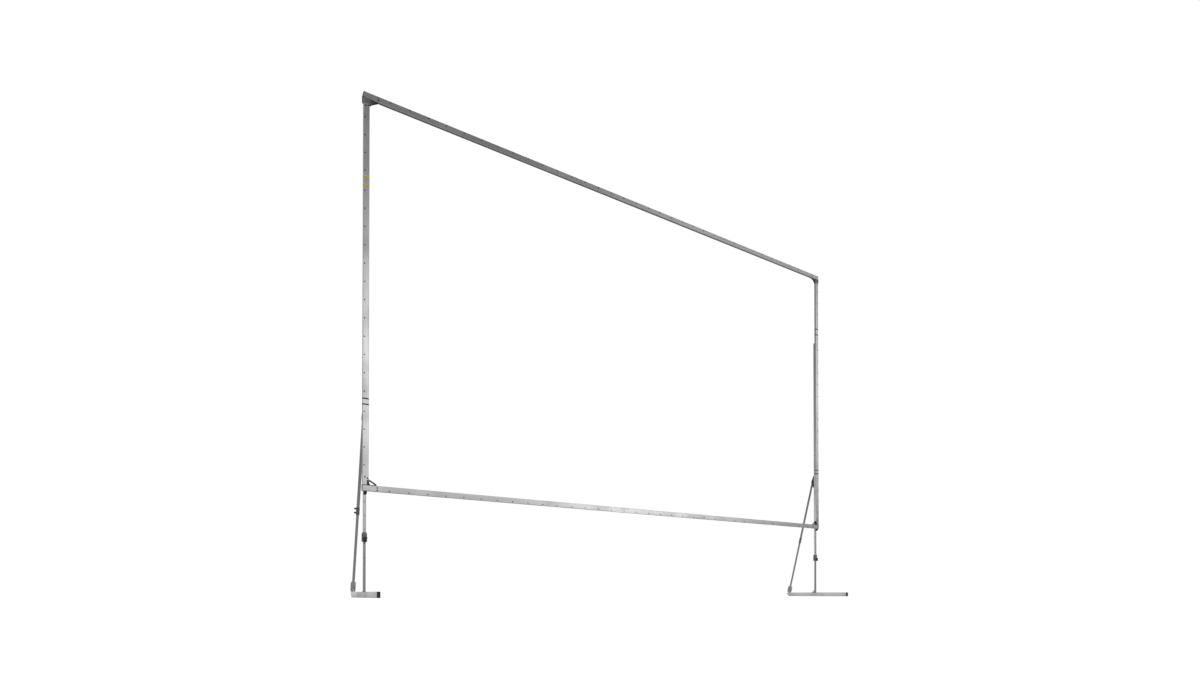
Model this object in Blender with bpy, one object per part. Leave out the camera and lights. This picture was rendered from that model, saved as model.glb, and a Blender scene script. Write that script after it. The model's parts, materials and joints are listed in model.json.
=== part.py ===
"""A portable projection-screen frame on two telescopic T-legs, bare of its cloth.

Rails and uprights are lengths of one hollow aluminium profile that plug together on spigots.
The cloth buttons on to the press studs of the front face. Each leg is a mast that hangs the frame,
a tube that telescopes in it, a long foot and a brace that telescopes with the leg.
Metres, +Z up, the front of the frame looks along -Y, the floor is z = 0.
"""

import math

import bmesh
import bpy
from mathutils import Matrix

# Clearances
FIT = 0.0003
SLIDE_FIT = 0.0005
WELD = 0.001

# Picture opening and its height above the floor
IMAGE_WIDTH = 7.320
IMAGE_HEIGHT = 4.180
FRAME_BOTTOM = 1.147

# Hollow profile of the frame and of the feet
PROFILE_FACE = 0.064
PROFILE_DEPTH = 0.032
PROFILE_WALL = 0.0025
PROFILE_EDGE = 0.003

# Lengths that plug together
RAIL_ELEMENTS = 6
END_UPRIGHT = 0.8985
SPIGOT_REACH = 0.080
SPIGOT_ROOT = 0.040

# Press studs
STUD_PITCH = 0.204
STUD_JOINT_MARGIN = 0.108
STUD_RAIL_CORNER = 0.284
STUD_UPRIGHT_CORNER = 0.209
STUD_FROM_EDGE = 0.016
STUD_FLANGE_RADIUS = 0.006
STUD_FLANGE = 0.0014
STUD_HEAD_RADIUS = 0.0042
STUD_HEIGHT = 0.0050
STUD_SIDES = 8

# Corner fittings
FLANGE = 0.004
RAIL_REACH = 0.090
UPRIGHT_REACH = 0.067
CORNER_SPIGOT = 0.060
GUSSET_ALONG = 0.012
GUSSET_UP = 0.030
TOP_GUSSET_ALONG = 0.056
TOP_GUSSET_UP = 0.052
GUSSET_THICKNESS = 0.012
LAP_PLATE = 0.003
LAP_OVER = 0.019
TOP_LAP_OVER = 0.062
LAP_INSIDE = 0.017
LAP_SLANT = 0.027
LAP_HEIGHT = 0.055
LAP_BRIDGE = 0.018
END_PLATE = 0.003
KNUCKLE = 0.011
KNUCKLE_LENGTH = 0.080
KNUCKLE_DROP = 0.020
KNUCKLE_DEPTH = 0.026
TOP_CORNER_CUT = 0.014
STAY_WIDTH = 0.016
STAY_THICKNESS = 0.008
STAY_UP = 0.050
STAY_ALONG = 0.074
STAY_PIN_RADIUS = 0.003
STAY_PIN_HEAD_RADIUS = 0.0055
STAY_PIN_HEAD = 0.002

# Mast, its tube and the hooks that carry the frame
MAST_SIZE = 0.030
MAST_WALL = 0.0016
MAST_TOP = 4.310
TUBE_WALL = 0.002
TUBE_TOP = 1.460
TUBE_EDGE = 0.002
STANDOFF = 0.005
HOLE_PITCH = 0.150
HOLE_RADIUS = 0.005
HOLE_SIDES = 10
MAST_HOLES = 3
TUBE_HOLES = 2
HOLE_ABOVE_COLLAR = 0.030
CAP_PLATE = 0.004
CAP_PLUG = 0.020
HANGER_WIDTH = 0.028
HANGER_HEIGHT = 0.060
HANGER_PIN_RADIUS = 0.005
LOWER_HANGER_ABOVE_FRAME = 1.447
UPPER_HANGER_BELOW_TOP = 0.130
HOOK_WIDTH = 0.030
HOOK_DROP = 0.034
HOOK_NOSE = 0.012
HOOK_LIP = 0.045

# Clamp collar of the leg and its lever
COLLAR_BASE = 0.605
COLLAR_HEIGHT = 0.100
COLLAR_STEP = 0.045
COLLAR_SIZE = 0.050
COLLAR_EDGE = 0.007
COLLAR_CROWN = 0.032
COLLAR_TOP_SIZE = 0.038
COLLAR_SLIT = 0.003
LEVER_PIVOT = 0.040
LEVER_BARREL_RADIUS = 0.0075
LEVER_WIDTH = 0.038
LEVER_BLADE = 0.048
LEVER_SHOULDER = 0.033
LEVER_TIP = 0.020
LEVER_BLADE_THICKNESS = 0.007
LEVER_PIN_RADIUS = 0.003
LEVER_EAR = 0.005
LEVER_GAP = 0.0015

# Foot
FOOT_FRONT = 0.632
FOOT_REAR = 0.601
FOOT_CAP = 0.015
FOOT_CHAMFER = 0.045
FOOT_SOLID_END = 0.080
FOOT_GUSSET = 0.055
FOOT_GUSSET_THICKNESS = 0.006
LUG_THICKNESS = 0.012
LUG_FROM_END = 0.0465
LUG_RIM = 0.008
PIN_RADIUS = 0.004
FORK_ABOVE_FOOT = 0.0035
PIN_DRIFT_FRONT = 0.0062
PIN_DRIFT_REAR = 0.0012
PIN_DRIFT_UP = 0.0012

# Brace
PIVOT_HEIGHT = 1.950
BRACE_SWING_ROOM = 0.0127
BRACE_RADIUS = 0.0165
BRACE_WALL = 0.0015
BRACE_TIP = 0.030
BRACE_SIDES = 16
ROD_WALL = 0.002
ROD_INSIDE = 0.550
CLAMP_HEIGHT = 0.970
CLAMP_SIZE = 0.038
CLAMP_LENGTH = 0.090
KNOB_SPACING = 0.045
KNOB_RADIUS = 0.010
KNOB_LENGTH = 0.022
KNOB_TURN = 45
KNOB_LOBES = 6
KNOB_FLUTE = 0.0012
KNOB_STEM_RADIUS = 0.004
KNOB_GAP = 0.001
FORK_WIDTH = 0.055
FORK_THICKNESS = 0.046
FORK_STRAIGHT = 0.050
FORK_NECK = 0.034
FORK_TOP = 0.085
FORK_SOCKET = 0.040
FORK_ROUND_STEPS = 8
BRACKET_HEIGHT = 0.200
BRACKET_PLATE = 0.004
BRACKET_CHEEK = 0.003
BRACKET_EYE = 0.014
PIN_SIDES = 12

# Worked out from the sizes above
OUTER_WIDTH = IMAGE_WIDTH + 2 * PROFILE_FACE
OUTER_HEIGHT = IMAGE_HEIGHT + 2 * PROFILE_FACE
FRAME_TOP = FRAME_BOTTOM + OUTER_HEIGHT
MAST_Y = (FOOT_FRONT - FOOT_REAR) / 2
MAST_FRONT = MAST_Y - MAST_SIZE / 2
MAST_BACK = MAST_Y + MAST_SIZE / 2
FRAME_BACK = MAST_FRONT - STANDOFF
FRAME_Y = FRAME_BACK - PROFILE_DEPTH / 2
FRAME_FRONT = FRAME_BACK - PROFILE_DEPTH
LEG_X = OUTER_WIDTH / 2 - PROFILE_FACE / 2
BORE_FACE = PROFILE_FACE - 2 * PROFILE_WALL
BORE_DEPTH = PROFILE_DEPTH - 2 * PROFILE_WALL
UPRIGHT_END = PROFILE_FACE + FIT + FLANGE + FIT
MAST_BORE = MAST_SIZE - 2 * MAST_WALL
TUBE_SIZE = MAST_BORE - 2 * SLIDE_FIT
COLLAR_SEAT = COLLAR_BASE + COLLAR_STEP
FIRST_MAST_HOLE = COLLAR_BASE + COLLAR_HEIGHT + HOLE_ABOVE_COLLAR
HANGER_HEIGHTS = {
    "lower": FRAME_BOTTOM + LOWER_HANGER_ABOVE_FRAME,
    "upper": MAST_TOP - UPPER_HANGER_BELOW_TOP,
}
FOOT_HEIGHT = PROFILE_FACE
PIN_HEIGHT = FOOT_HEIGHT + FORK_ABOVE_FOOT + FORK_WIDTH / 2
PIVOT_BEHIND_MAST = FIT + BRACKET_PLATE + BRACE_RADIUS + BRACE_SWING_ROOM
ROD_RADIUS = BRACE_RADIUS - BRACE_WALL - SLIDE_FIT
PIVOT_Y = MAST_BACK + PIVOT_BEHIND_MAST
PIN_Y = MAST_Y + FOOT_REAR - LUG_FROM_END
BRACE_LENGTH = math.hypot(PIN_Y - PIVOT_Y, PIVOT_HEIGHT - PIN_HEIGHT)
BRACE_LEAN = math.atan2(PIN_Y - PIVOT_Y, PIVOT_HEIGHT - PIN_HEIGHT)
BRACE_TUBE_END = (PIVOT_HEIGHT - CLAMP_HEIGHT) / math.cos(BRACE_LEAN)
KNOB_ANGLE = math.radians(KNOB_TURN)
STAY_REST = PROFILE_FACE + FIT + FLANGE + FIT + STAY_WIDTH / 2
STAY_PIVOT = PROFILE_FACE + STAY_UP
STAY_TIP = PROFILE_FACE + STAY_ALONG

SIDES = {"left": -1, "right": 1}
LEVELS = {"bottom": 1, "top": -1}

# Colour, roughness and metallic value of each finish
FINISHES = {
    "anodised_aluminium": ((0.62, 0.63, 0.64), 0.38, 1.0),
    "dark_fitting": ((0.09, 0.09, 0.095), 0.45, 0.6),
    "brace_aluminium": ((0.36, 0.37, 0.38), 0.42, 1.0),
    "black_plastic": ((0.025, 0.025, 0.027), 0.50, 0.0),
}


def clear_scene():
    """Empty the scene of every object."""
    for obj in list(bpy.data.objects):
        bpy.data.objects.remove(obj, do_unlink=True)


def finish_material(finish):
    """The Principled material of one finish, made once."""
    material = bpy.data.materials.get(finish)
    if material is None:
        color, roughness, metallic = FINISHES[finish]
        material = bpy.data.materials.new(finish)
        material.use_nodes = True
        shader = material.node_tree.nodes["Principled BSDF"]
        shader.inputs["Base Color"].default_value = (*color, 1.0)
        shader.inputs["Roughness"].default_value = roughness
        shader.inputs["Metallic"].default_value = metallic
    return material


def add_piece(name, shape, finish, location=(0, 0, 0), rotation=(0, 0, 0), parent=None):
    """One named object from a closed shape, placed by its own origin."""
    mesh = bpy.data.meshes.new(name)
    shape.to_mesh(mesh)
    shape.free()
    mesh.set_sharp_from_angle(angle=math.radians(35))
    mesh.materials.append(finish_material(finish))
    piece = bpy.data.objects.new(name, mesh)
    bpy.context.scene.collection.objects.link(piece)
    piece.location = location
    piece.rotation_euler = rotation
    piece.parent = parent
    return piece


def add_axis(name, location, rotation=(0, 0, 0), parent=None):
    """An empty on a joint's axis, which carries the pieces that move there."""
    axis = bpy.data.objects.new(name, None)
    bpy.context.scene.collection.objects.link(axis)
    axis.location = location
    axis.rotation_euler = rotation
    axis.parent = parent
    return axis


def prism(outline, start, end, axis):
    """An outline in the two other axes, in their alphabetical order, drawn along one axis."""
    shape = bmesh.new()
    place = {
        "X": lambda p, q, s: (s, p, q),
        "Y": lambda p, q, s: (p, s, q),
        "Z": lambda p, q, s: (p, q, s),
    }[axis]
    near = [shape.verts.new(place(p, q, start)) for p, q in outline]
    far = [shape.verts.new(place(p, q, end)) for p, q in outline]
    shape.faces.new(near)
    shape.faces.new(far)
    for i, vertex in enumerate(near):
        j = (i + 1) % len(near)
        shape.faces.new((vertex, near[j], far[j], far[i]))
    bmesh.ops.recalc_face_normals(shape, faces=shape.faces)
    return shape


def lathe(profile, sides):
    """A profile of (radius, height) turned about Z, with flat ends."""
    shape = bmesh.new()
    turns = [2 * math.pi * (i + 0.5) / sides for i in range(sides)]
    rings = [
        [shape.verts.new((r * math.cos(t), r * math.sin(t), z)) for t in turns] for r, z in profile
    ]
    for low, high in zip(rings, rings[1:]):
        for i in range(sides):
            j = (i + 1) % sides
            shape.faces.new((low[i], low[j], high[j], high[i]))
    shape.faces.new(rings[0])
    shape.faces.new(rings[-1])
    bmesh.ops.recalc_face_normals(shape, faces=shape.faces)
    return shape


def moved(shape, offset=(0, 0, 0), turn=0.0, axis="X"):
    """The shape turned about one axis and then moved."""
    matrix = Matrix.Translation(offset) @ Matrix.Rotation(turn, 4, axis)
    bmesh.ops.transform(shape, matrix=matrix, verts=shape.verts)
    return shape


def mirrored(shape, signs):
    """The shape with some axes turned over, its faces still pointing out."""
    bmesh.ops.scale(shape, vec=signs, verts=shape.verts)
    if signs[0] * signs[1] * signs[2] < 0:
        bmesh.ops.reverse_faces(shape, faces=shape.faces)
    return shape


def helper_object(shape):
    """A short-lived object that a Boolean works on."""
    mesh = bpy.data.meshes.new("helper")
    shape.to_mesh(mesh)
    shape.free()
    helper = bpy.data.objects.new("helper", mesh)
    bpy.context.scene.collection.objects.link(helper)
    return helper


def boolean(base, tool, operation):
    """Two closed shapes as one, joined or cut."""
    solid = helper_object(base)
    other = helper_object(tool)
    modifier = solid.modifiers.new("boolean", "BOOLEAN")
    modifier.operation = operation
    modifier.solver = "EXACT"
    modifier.object = other
    result = bmesh.new()
    result.from_object(solid, bpy.context.evaluated_depsgraph_get())
    for helper in (solid, other):
        mesh = helper.data
        bpy.data.objects.remove(helper, do_unlink=True)
        bpy.data.meshes.remove(mesh)
    bmesh.ops.remove_doubles(result, verts=result.verts, dist=1e-6)
    return result


def joined(base, *tools):
    """The base with each other shape welded on."""
    for tool in tools:
        base = boolean(base, tool, "UNION")
    return base


def cut(base, *tools):
    """The base with each other shape taken out."""
    for tool in tools:
        base = boolean(base, tool, "DIFFERENCE")
    return base


def rectangle(width, height, centre=(0, 0)):
    """Four corners about a centre."""
    p, q = centre
    w, h = width / 2, height / 2
    return [(p - w, q - h), (p + w, q - h), (p + w, q + h), (p - w, q + h)]


def eased_rectangle(width, height, edge, centre=(0, 0)):
    """A rectangle with its four corners cut back."""
    p, q = centre
    w, h = width / 2, height / 2
    corners = []
    for x, y, first in ((-w, -h, 1), (w, -h, 0), (w, h, 1), (-w, h, 0)):
        dx = -math.copysign(edge, x)
        dy = -math.copysign(edge, y)
        pair = [(p + x + dx, q + y), (p + x, q + y + dy)]
        corners += pair[::-1] if first else pair
    return corners


def arc(centre, radius, start, end, steps):
    """Points along an arc, both ends included, in degrees."""
    angles = [math.radians(start + (end - start) * i / steps) for i in range(steps + 1)]
    return [(centre[0] + radius * math.cos(a), centre[1] + radius * math.sin(a)) for a in angles]


def circle(radius, sides, centre=(0, 0)):
    """A round outline whose flats stand half a step from the first axis."""
    half = 180 / sides
    return arc(centre, radius, half, 360 - half, sides - 1)


def slot_outline(length_low, length_high, radius, centre):
    """A round-ended slot that reaches either way from a centre along the first axis."""
    p, q = centre
    steps = PIN_SIDES // 2
    return arc((p + length_high, q), radius, -90, 90, steps) + arc(
        (p - length_low, q), radius, 90, 270, steps
    )


def block(x, y, z):
    """A box between three pairs of limits."""
    outline = [(x[0], y[0]), (x[1], y[0]), (x[1], y[1]), (x[0], y[1])]
    return prism(outline, z[0], z[1], "Z")


# Frame


def spread(first, last):
    """Even stud places between two limits, at about the stud pitch."""
    gaps = max(1, round((last - first) / STUD_PITCH))
    return [first + (last - first) * i / gaps for i in range(gaps + 1)]


def press_stud(along, across):
    """One stud of the front face, rooted in the profile's wall."""
    stud = lathe(
        [
            (STUD_FLANGE_RADIUS, -WELD),
            (STUD_FLANGE_RADIUS, STUD_FLANGE),
            (STUD_HEAD_RADIUS, STUD_HEIGHT),
        ],
        STUD_SIDES,
    )
    return moved(stud, (along, -PROFILE_DEPTH / 2, across), math.pi / 2)


def profile_element(length, studs, stud_across, spigot, pin_holes=()):
    """A length of profile along X from x = 0, with its studs and with a spigot at its far end."""
    solid = prism(
        eased_rectangle(PROFILE_DEPTH, PROFILE_FACE, PROFILE_EDGE), 0, length, "X"
    )
    bore_end = length - SPIGOT_ROOT if spigot else length + WELD
    solid = cut(solid, prism(rectangle(BORE_DEPTH, BORE_FACE), -WELD, bore_end, "X"))
    for along, across in pin_holes:
        wall = (PROFILE_DEPTH / 2 - PROFILE_WALL - WELD, PROFILE_DEPTH / 2 + WELD)
        hole = circle(HANGER_PIN_RADIUS + FIT, PIN_SIDES, (along, across))
        solid = cut(solid, prism(hole, *wall, "Y"))
    if spigot:
        nose = rectangle(BORE_DEPTH - 2 * FIT, BORE_FACE - 2 * FIT)
        solid = joined(solid, prism(nose, length - SPIGOT_ROOT / 2, length + SPIGOT_REACH, "X"))
    return joined(solid, *(press_stud(along, stud_across) for along in studs))


def corner_wedge(end, inwards):
    """A cutter that takes the upper corner off a rail's end."""
    top = PROFILE_FACE / 2
    slope = [
        (end - inwards * WELD, top + WELD),
        (end - inwards * WELD, top - TOP_CORNER_CUT - WELD),
        (end + inwards * (TOP_CORNER_CUT + WELD), top + WELD),
    ]
    return prism(slope, -PROFILE_DEPTH, PROFILE_DEPTH, "Y")


def add_rails():
    """The top and the bottom rail, each of six lengths end to end."""
    length = OUTER_WIDTH / RAIL_ELEMENTS - FIT
    for level, up in LEVELS.items():
        middle = FRAME_BOTTOM + PROFILE_FACE / 2 if up > 0 else FRAME_TOP - PROFILE_FACE / 2
        across = -up * (PROFILE_FACE / 2 - STUD_FROM_EDGE)
        for i in range(RAIL_ELEMENTS):
            first = STUD_RAIL_CORNER if i == 0 else STUD_JOINT_MARGIN
            last = STUD_RAIL_CORNER if i == RAIL_ELEMENTS - 1 else STUD_JOINT_MARGIN
            shape = profile_element(
                length, spread(first, length - last), across, spigot=i < RAIL_ELEMENTS - 1
            )
            if level == "top" and i in (0, RAIL_ELEMENTS - 1):
                shape = cut(shape, corner_wedge(0 if i == 0 else length, 1 if i == 0 else -1))
            start = -OUTER_WIDTH / 2 + i * (length + FIT) + FIT / 2
            add_piece(
                f"{level}_rail_{i + 1}", shape, "anodised_aluminium", (start, FRAME_Y, middle)
            )


def add_uprights():
    """The two uprights, each of a lower, a middle and an upper length."""
    foot = FRAME_BOTTOM + UPRIGHT_END
    head = FRAME_TOP - UPRIGHT_END
    lower_joint = FRAME_BOTTOM + PROFILE_FACE + END_UPRIGHT
    upper_joint = FRAME_TOP - PROFILE_FACE - END_UPRIGHT
    spans = {
        "lower": (foot, lower_joint - FIT, STUD_UPRIGHT_CORNER, STUD_JOINT_MARGIN),
        "middle": (lower_joint, upper_joint - FIT, STUD_JOINT_MARGIN, STUD_JOINT_MARGIN),
        "upper": (upper_joint, head, STUD_JOINT_MARGIN, STUD_UPRIGHT_CORNER),
    }
    for side, sign in SIDES.items():
        across = -sign * (PROFILE_FACE / 2 - STUD_FROM_EDGE)
        for name, (low, high, first, last) in spans.items():
            holes = [(z - low, 0) for z in HANGER_HEIGHTS.values() if low < z < high]
            shape = profile_element(
                high - low,
                spread(first, high - low - last),
                across,
                spigot=name != "upper",
                pin_holes=holes,
            )
            add_piece(
                f"{side}_upright_{name}",
                shape,
                "anodised_aluminium",
                (sign * LEG_X, FRAME_Y, low),
                (0, -math.pi / 2, 0),
            )


def end_plate_outline(level):
    """The plate over a rail's open end, bent over the cut corner at the top."""
    near, far = FIT, FIT + END_PLATE
    foot = PROFILE_FACE + FIT + FLANGE
    if level == "bottom":
        return [(-far, 0), (-near, 0), (-near, foot), (-far, foot)]
    bend = math.sqrt(2) - 1
    return [
        (-far, foot),
        (-far, TOP_CORNER_CUT - bend * far),
        (TOP_CORNER_CUT - math.sqrt(2) * far, 0),
        (TOP_CORNER_CUT - math.sqrt(2) * near, 0),
        (-near, TOP_CORNER_CUT - bend * near),
        (-near, foot),
    ]


def lap_plate(level, half):
    """The plate that laps from the corner over the front of the upright."""
    front = -PROFILE_DEPTH / 2 - FIT - LAP_PLATE
    seat = PROFILE_FACE + FIT
    over = PROFILE_FACE - (LAP_OVER if level == "bottom" else TOP_LAP_OVER)
    outline = [
        (over, seat),
        (PROFILE_FACE + LAP_INSIDE, seat),
        (PROFILE_FACE + LAP_INSIDE - LAP_SLANT, seat + LAP_HEIGHT),
        (over, seat + LAP_HEIGHT),
    ]
    plate = prism(outline, front, front + LAP_PLATE, "Y")
    bridge = block(
        (seat, seat + FLANGE), (front + WELD, WELD - half), (seat + WELD, seat + LAP_BRIDGE)
    )
    return joined(plate, bridge)


def corner_bracket(level):
    """A corner fitting about the outer corner: X runs inwards, Z from the rail to the middle."""
    half = PROFILE_DEPTH / 2 - FIT
    seat = PROFILE_FACE + FIT
    along_rail = block(
        (-FIT - END_PLATE, PROFILE_FACE + RAIL_REACH), (-half, half), (seat, seat + FLANGE)
    )
    along_upright = block(
        (seat, seat + FLANGE), (-half, half), (seat, PROFILE_FACE + UPRIGHT_REACH)
    )
    end_plate = prism(end_plate_outline(level), -half, half, "Y")
    spigot = block(
        (PROFILE_WALL + FIT, PROFILE_FACE - PROFILE_WALL - FIT),
        (-BORE_DEPTH / 2 + FIT, BORE_DEPTH / 2 - FIT),
        (seat + WELD, seat + FLANGE + CORNER_SPIGOT),
    )
    inner = seat + FLANGE - WELD
    along = GUSSET_ALONG if level == "bottom" else TOP_GUSSET_ALONG
    up = GUSSET_UP if level == "bottom" else TOP_GUSSET_UP
    gusset = prism(
        [(inner, inner), (inner + along, inner), (inner, inner + up)],
        WELD,
        WELD + GUSSET_THICKNESS,
        "Y",
    )
    ear = prism(
        arc((STAY_REST, STAY_PIVOT), STAY_WIDTH / 2, -90, 90, STUD_SIDES)
        + [(inner, STAY_PIVOT + STAY_WIDTH / 2), (inner, STAY_PIVOT - STAY_WIDTH / 2)],
        WELD,
        WELD + GUSSET_THICKNESS,
        "Y",
    )
    stay_front = -FIT - STAY_THICKNESS
    pin = lathe(
        [
            (STAY_PIN_RADIUS, -2 * WELD),
            (STAY_PIN_RADIUS, WELD + FIT - stay_front),
            (STAY_PIN_HEAD_RADIUS, WELD + FIT - stay_front),
            (STAY_PIN_HEAD_RADIUS, WELD + FIT - stay_front + STAY_PIN_HEAD),
        ],
        PIN_SIDES,
    )
    pin = moved(pin, (STAY_REST, WELD, STAY_PIVOT), math.pi / 2)
    lap = lap_plate(level, half)
    shape = joined(along_rail, along_upright, end_plate, spigot, gusset, ear, pin, lap)
    if level == "top":
        centre = (-FIT - KNUCKLE / 2, seat + KNUCKLE_DROP)
        outline = eased_rectangle(KNUCKLE, KNUCKLE_LENGTH, KNUCKLE / 3, centre)
        knuckle = prism(outline, -KNUCKLE_DEPTH / 2, KNUCKLE_DEPTH / 2, "Y")
        shape = joined(shape, knuckle)
    return shape


def corner_stay():
    """The diagonal stay about its pin, which lies down to the rail's flange."""
    rise = STAY_PIVOT - STAY_REST
    run = STAY_TIP - STAY_REST
    span = math.hypot(run, rise)
    radius = STAY_WIDTH / 2
    bar = prism(
        arc((0, 0), radius, 90, 270, STUD_SIDES) + arc((span, 0), radius, -90, 90, STUD_SIDES),
        -STAY_THICKNESS,
        0,
        "Y",
    )
    hole = prism(
        circle(STAY_PIN_RADIUS + FIT, PIN_SIDES), -STAY_THICKNESS - WELD, WELD, "Y"
    )
    return moved(cut(bar, hole), (0, 0, 0), math.atan2(rise, run), "Y")


def add_corners():
    """The four corner fittings, and the stays that lock them square."""
    for level, up in LEVELS.items():
        height = FRAME_BOTTOM if up > 0 else FRAME_TOP
        for side, sign in SIDES.items():
            corner = (sign * OUTER_WIDTH / 2, FRAME_Y, height)
            signs = (-sign, 1, up)
            bracket = mirrored(corner_bracket(level), signs)
            add_piece(f"{level}_{side}_corner", bracket, "dark_fitting", corner)
            pivot = (
                corner[0] - sign * STAY_REST,
                FRAME_Y - FIT,
                corner[2] + up * STAY_PIVOT,
            )
            stay = mirrored(corner_stay(), signs)
            add_piece(f"{level}_{side}_stay", stay, "dark_fitting", pivot)


# Legs


def square_tube(size, wall, low, high):
    """A square tube about Z, open at both ends."""
    outside = prism(eased_rectangle(size, size, TUBE_EDGE), low, high, "Z")
    bore = prism(rectangle(size - 2 * wall, size - 2 * wall), low - WELD, high + WELD, "Z")
    return cut(outside, bore)


def round_tube(radius, wall, low, high):
    """A round tube about Z, open at both ends."""
    outside = prism(circle(radius, BRACE_SIDES), low, high, "Z")
    bore = prism(circle(radius - wall, BRACE_SIDES), low - WELD, high + WELD, "Z")
    return cut(outside, bore)


def front_holes(heights, size, wall):
    """Cutters for the index holes through a tube's front wall."""
    face = -size / 2
    return [
        prism(circle(HOLE_RADIUS, HOLE_SIDES, (0, z)), face - WELD, face + wall + WELD, "Y")
        for z in heights
    ]


def add_mast(side, x):
    """The mast with its index holes and its top cap."""
    heights = [FIRST_MAST_HOLE + i * HOLE_PITCH for i in range(MAST_HOLES)]
    mast = square_tube(MAST_SIZE, MAST_WALL, COLLAR_SEAT + FIT, MAST_TOP)
    mast = cut(mast, *front_holes(heights, MAST_SIZE, MAST_WALL))
    add_piece(f"{side}_mast", mast, "anodised_aluminium", (x, MAST_Y, 0))
    plug = MAST_BORE - 2 * FIT
    cap = joined(
        prism(eased_rectangle(MAST_SIZE, MAST_SIZE, TUBE_EDGE), FIT, FIT + CAP_PLATE, "Z"),
        prism(rectangle(plug, plug), -CAP_PLUG, FIT + WELD, "Z"),
    )
    add_piece(f"{side}_mast_cap", cap, "black_plastic", (x, MAST_Y, MAST_TOP))


def add_hangers(side, x):
    """The plates and pins on which the upright hangs, and the hook below the bottom rail."""
    plate_y = (FRAME_BACK + FIT, MAST_FRONT - FIT)
    for name, z in HANGER_HEIGHTS.items():
        plate = prism(
            eased_rectangle(HANGER_WIDTH, HANGER_HEIGHT, PROFILE_EDGE), *plate_y, "Y"
        )
        tip = FRAME_BACK - PROFILE_WALL
        pin = prism(circle(HANGER_PIN_RADIUS, PIN_SIDES), tip, plate_y[0] + WELD, "Y")
        add_piece(f"{side}_{name}_hanger", joined(plate, pin), "dark_fitting", (x, 0, z))
    shelf = FRAME_BOTTOM - FIT
    outline = [
        (FRAME_FRONT, shelf - HOOK_NOSE),
        (FRAME_FRONT, shelf),
        (plate_y[0], shelf),
        (plate_y[0], shelf + HOOK_LIP),
        (plate_y[1], shelf + HOOK_LIP),
        (plate_y[1], shelf - HOOK_DROP),
        (FRAME_Y, shelf - HOOK_DROP),
    ]
    hook = prism(outline, -HOOK_WIDTH / 2, HOOK_WIDTH / 2, "X")
    add_piece(f"{side}_rail_hook", hook, "black_plastic", (x, 0, 0))


def add_collar(side, x):
    """The clamp collar at the mast's foot, and the lever that closes it."""
    top = COLLAR_BASE + COLLAR_HEIGHT
    body = prism(
        eased_rectangle(COLLAR_SIZE, COLLAR_SIZE, COLLAR_EDGE), COLLAR_BASE, top, "Z"
    )
    mast_bore = MAST_SIZE + 2 * FIT
    tube_bore = TUBE_SIZE + 2 * SLIDE_FIT
    front = -COLLAR_SIZE / 2
    pivot_y = front - LEVER_GAP - LEVER_BARREL_RADIUS
    pivot_z = COLLAR_BASE + LEVER_PIVOT
    ears = []
    ear_low = LEVER_WIDTH / 2 + FIT
    for sign in (-1, 1):
        outline = arc((pivot_y, pivot_z), LEVER_BARREL_RADIUS, 90, 270, STUD_SIDES) + [
            (front + COLLAR_EDGE, pivot_z - LEVER_BARREL_RADIUS),
            (front + COLLAR_EDGE, pivot_z + LEVER_BARREL_RADIUS),
        ]
        ears.append(prism(outline, sign * ear_low, sign * (ear_low + LEVER_EAR), "X"))
    pin_half = ear_low + LEVER_EAR / 2
    pin = prism(
        circle(LEVER_PIN_RADIUS, PIN_SIDES, (pivot_y, pivot_z)), -pin_half, pin_half, "X"
    )
    body = cut(
        body,
        prism(rectangle(mast_bore, mast_bore), COLLAR_SEAT, top + WELD, "Z"),
        prism(rectangle(tube_bore, tube_bore), COLLAR_BASE - WELD, COLLAR_SEAT + WELD, "Z"),
        block(
            (-COLLAR_SLIT / 2, COLLAR_SLIT / 2),
            (front - WELD, -tube_bore / 2 + WELD),
            (COLLAR_BASE - WELD, top + WELD),
        ),
    )
    for sign in (-1, 1):
        taper = [
            (sign * COLLAR_TOP_SIZE / 2, top + WELD),
            (sign * (COLLAR_SIZE / 2 + WELD), top - COLLAR_CROWN),
            (sign * (COLLAR_SIZE / 2 + WELD), top + WELD),
        ]
        body = cut(body, *(prism(taper, -COLLAR_SIZE, COLLAR_SIZE, axis) for axis in "XY"))
    body = joined(body, *ears, pin)
    add_piece(f"{side}_collar", body, "dark_fitting", (x, MAST_Y, 0))

    blade_front = -LEVER_BARREL_RADIUS
    blade_back = blade_front + LEVER_BLADE_THICKNESS
    outline = arc((0, 0), LEVER_BARREL_RADIUS, 0, 180, STUD_SIDES) + [
        (blade_front, -LEVER_BLADE),
        (blade_back, -LEVER_BLADE),
        (blade_back, -LEVER_BARREL_RADIUS),
    ]
    half = LEVER_WIDTH / 2
    lever = cut(
        prism(outline, -half, half, "X"),
        prism(circle(LEVER_PIN_RADIUS + FIT, PIN_SIDES), -half - WELD, half + WELD, "X"),
    )
    for sign in (-1, 1):
        corner = [
            (sign * LEVER_TIP / 2, -LEVER_BLADE - WELD),
            (sign * (half + WELD), -LEVER_BLADE - WELD),
            (sign * (half + WELD), -LEVER_SHOULDER),
        ]
        lever = cut(lever, prism(corner, -COLLAR_SIZE, COLLAR_SIZE, "Y"))
    add_piece(
        f"{side}_collar_lever", lever, "black_plastic", (x, MAST_Y + pivot_y, pivot_z)
    )


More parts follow.
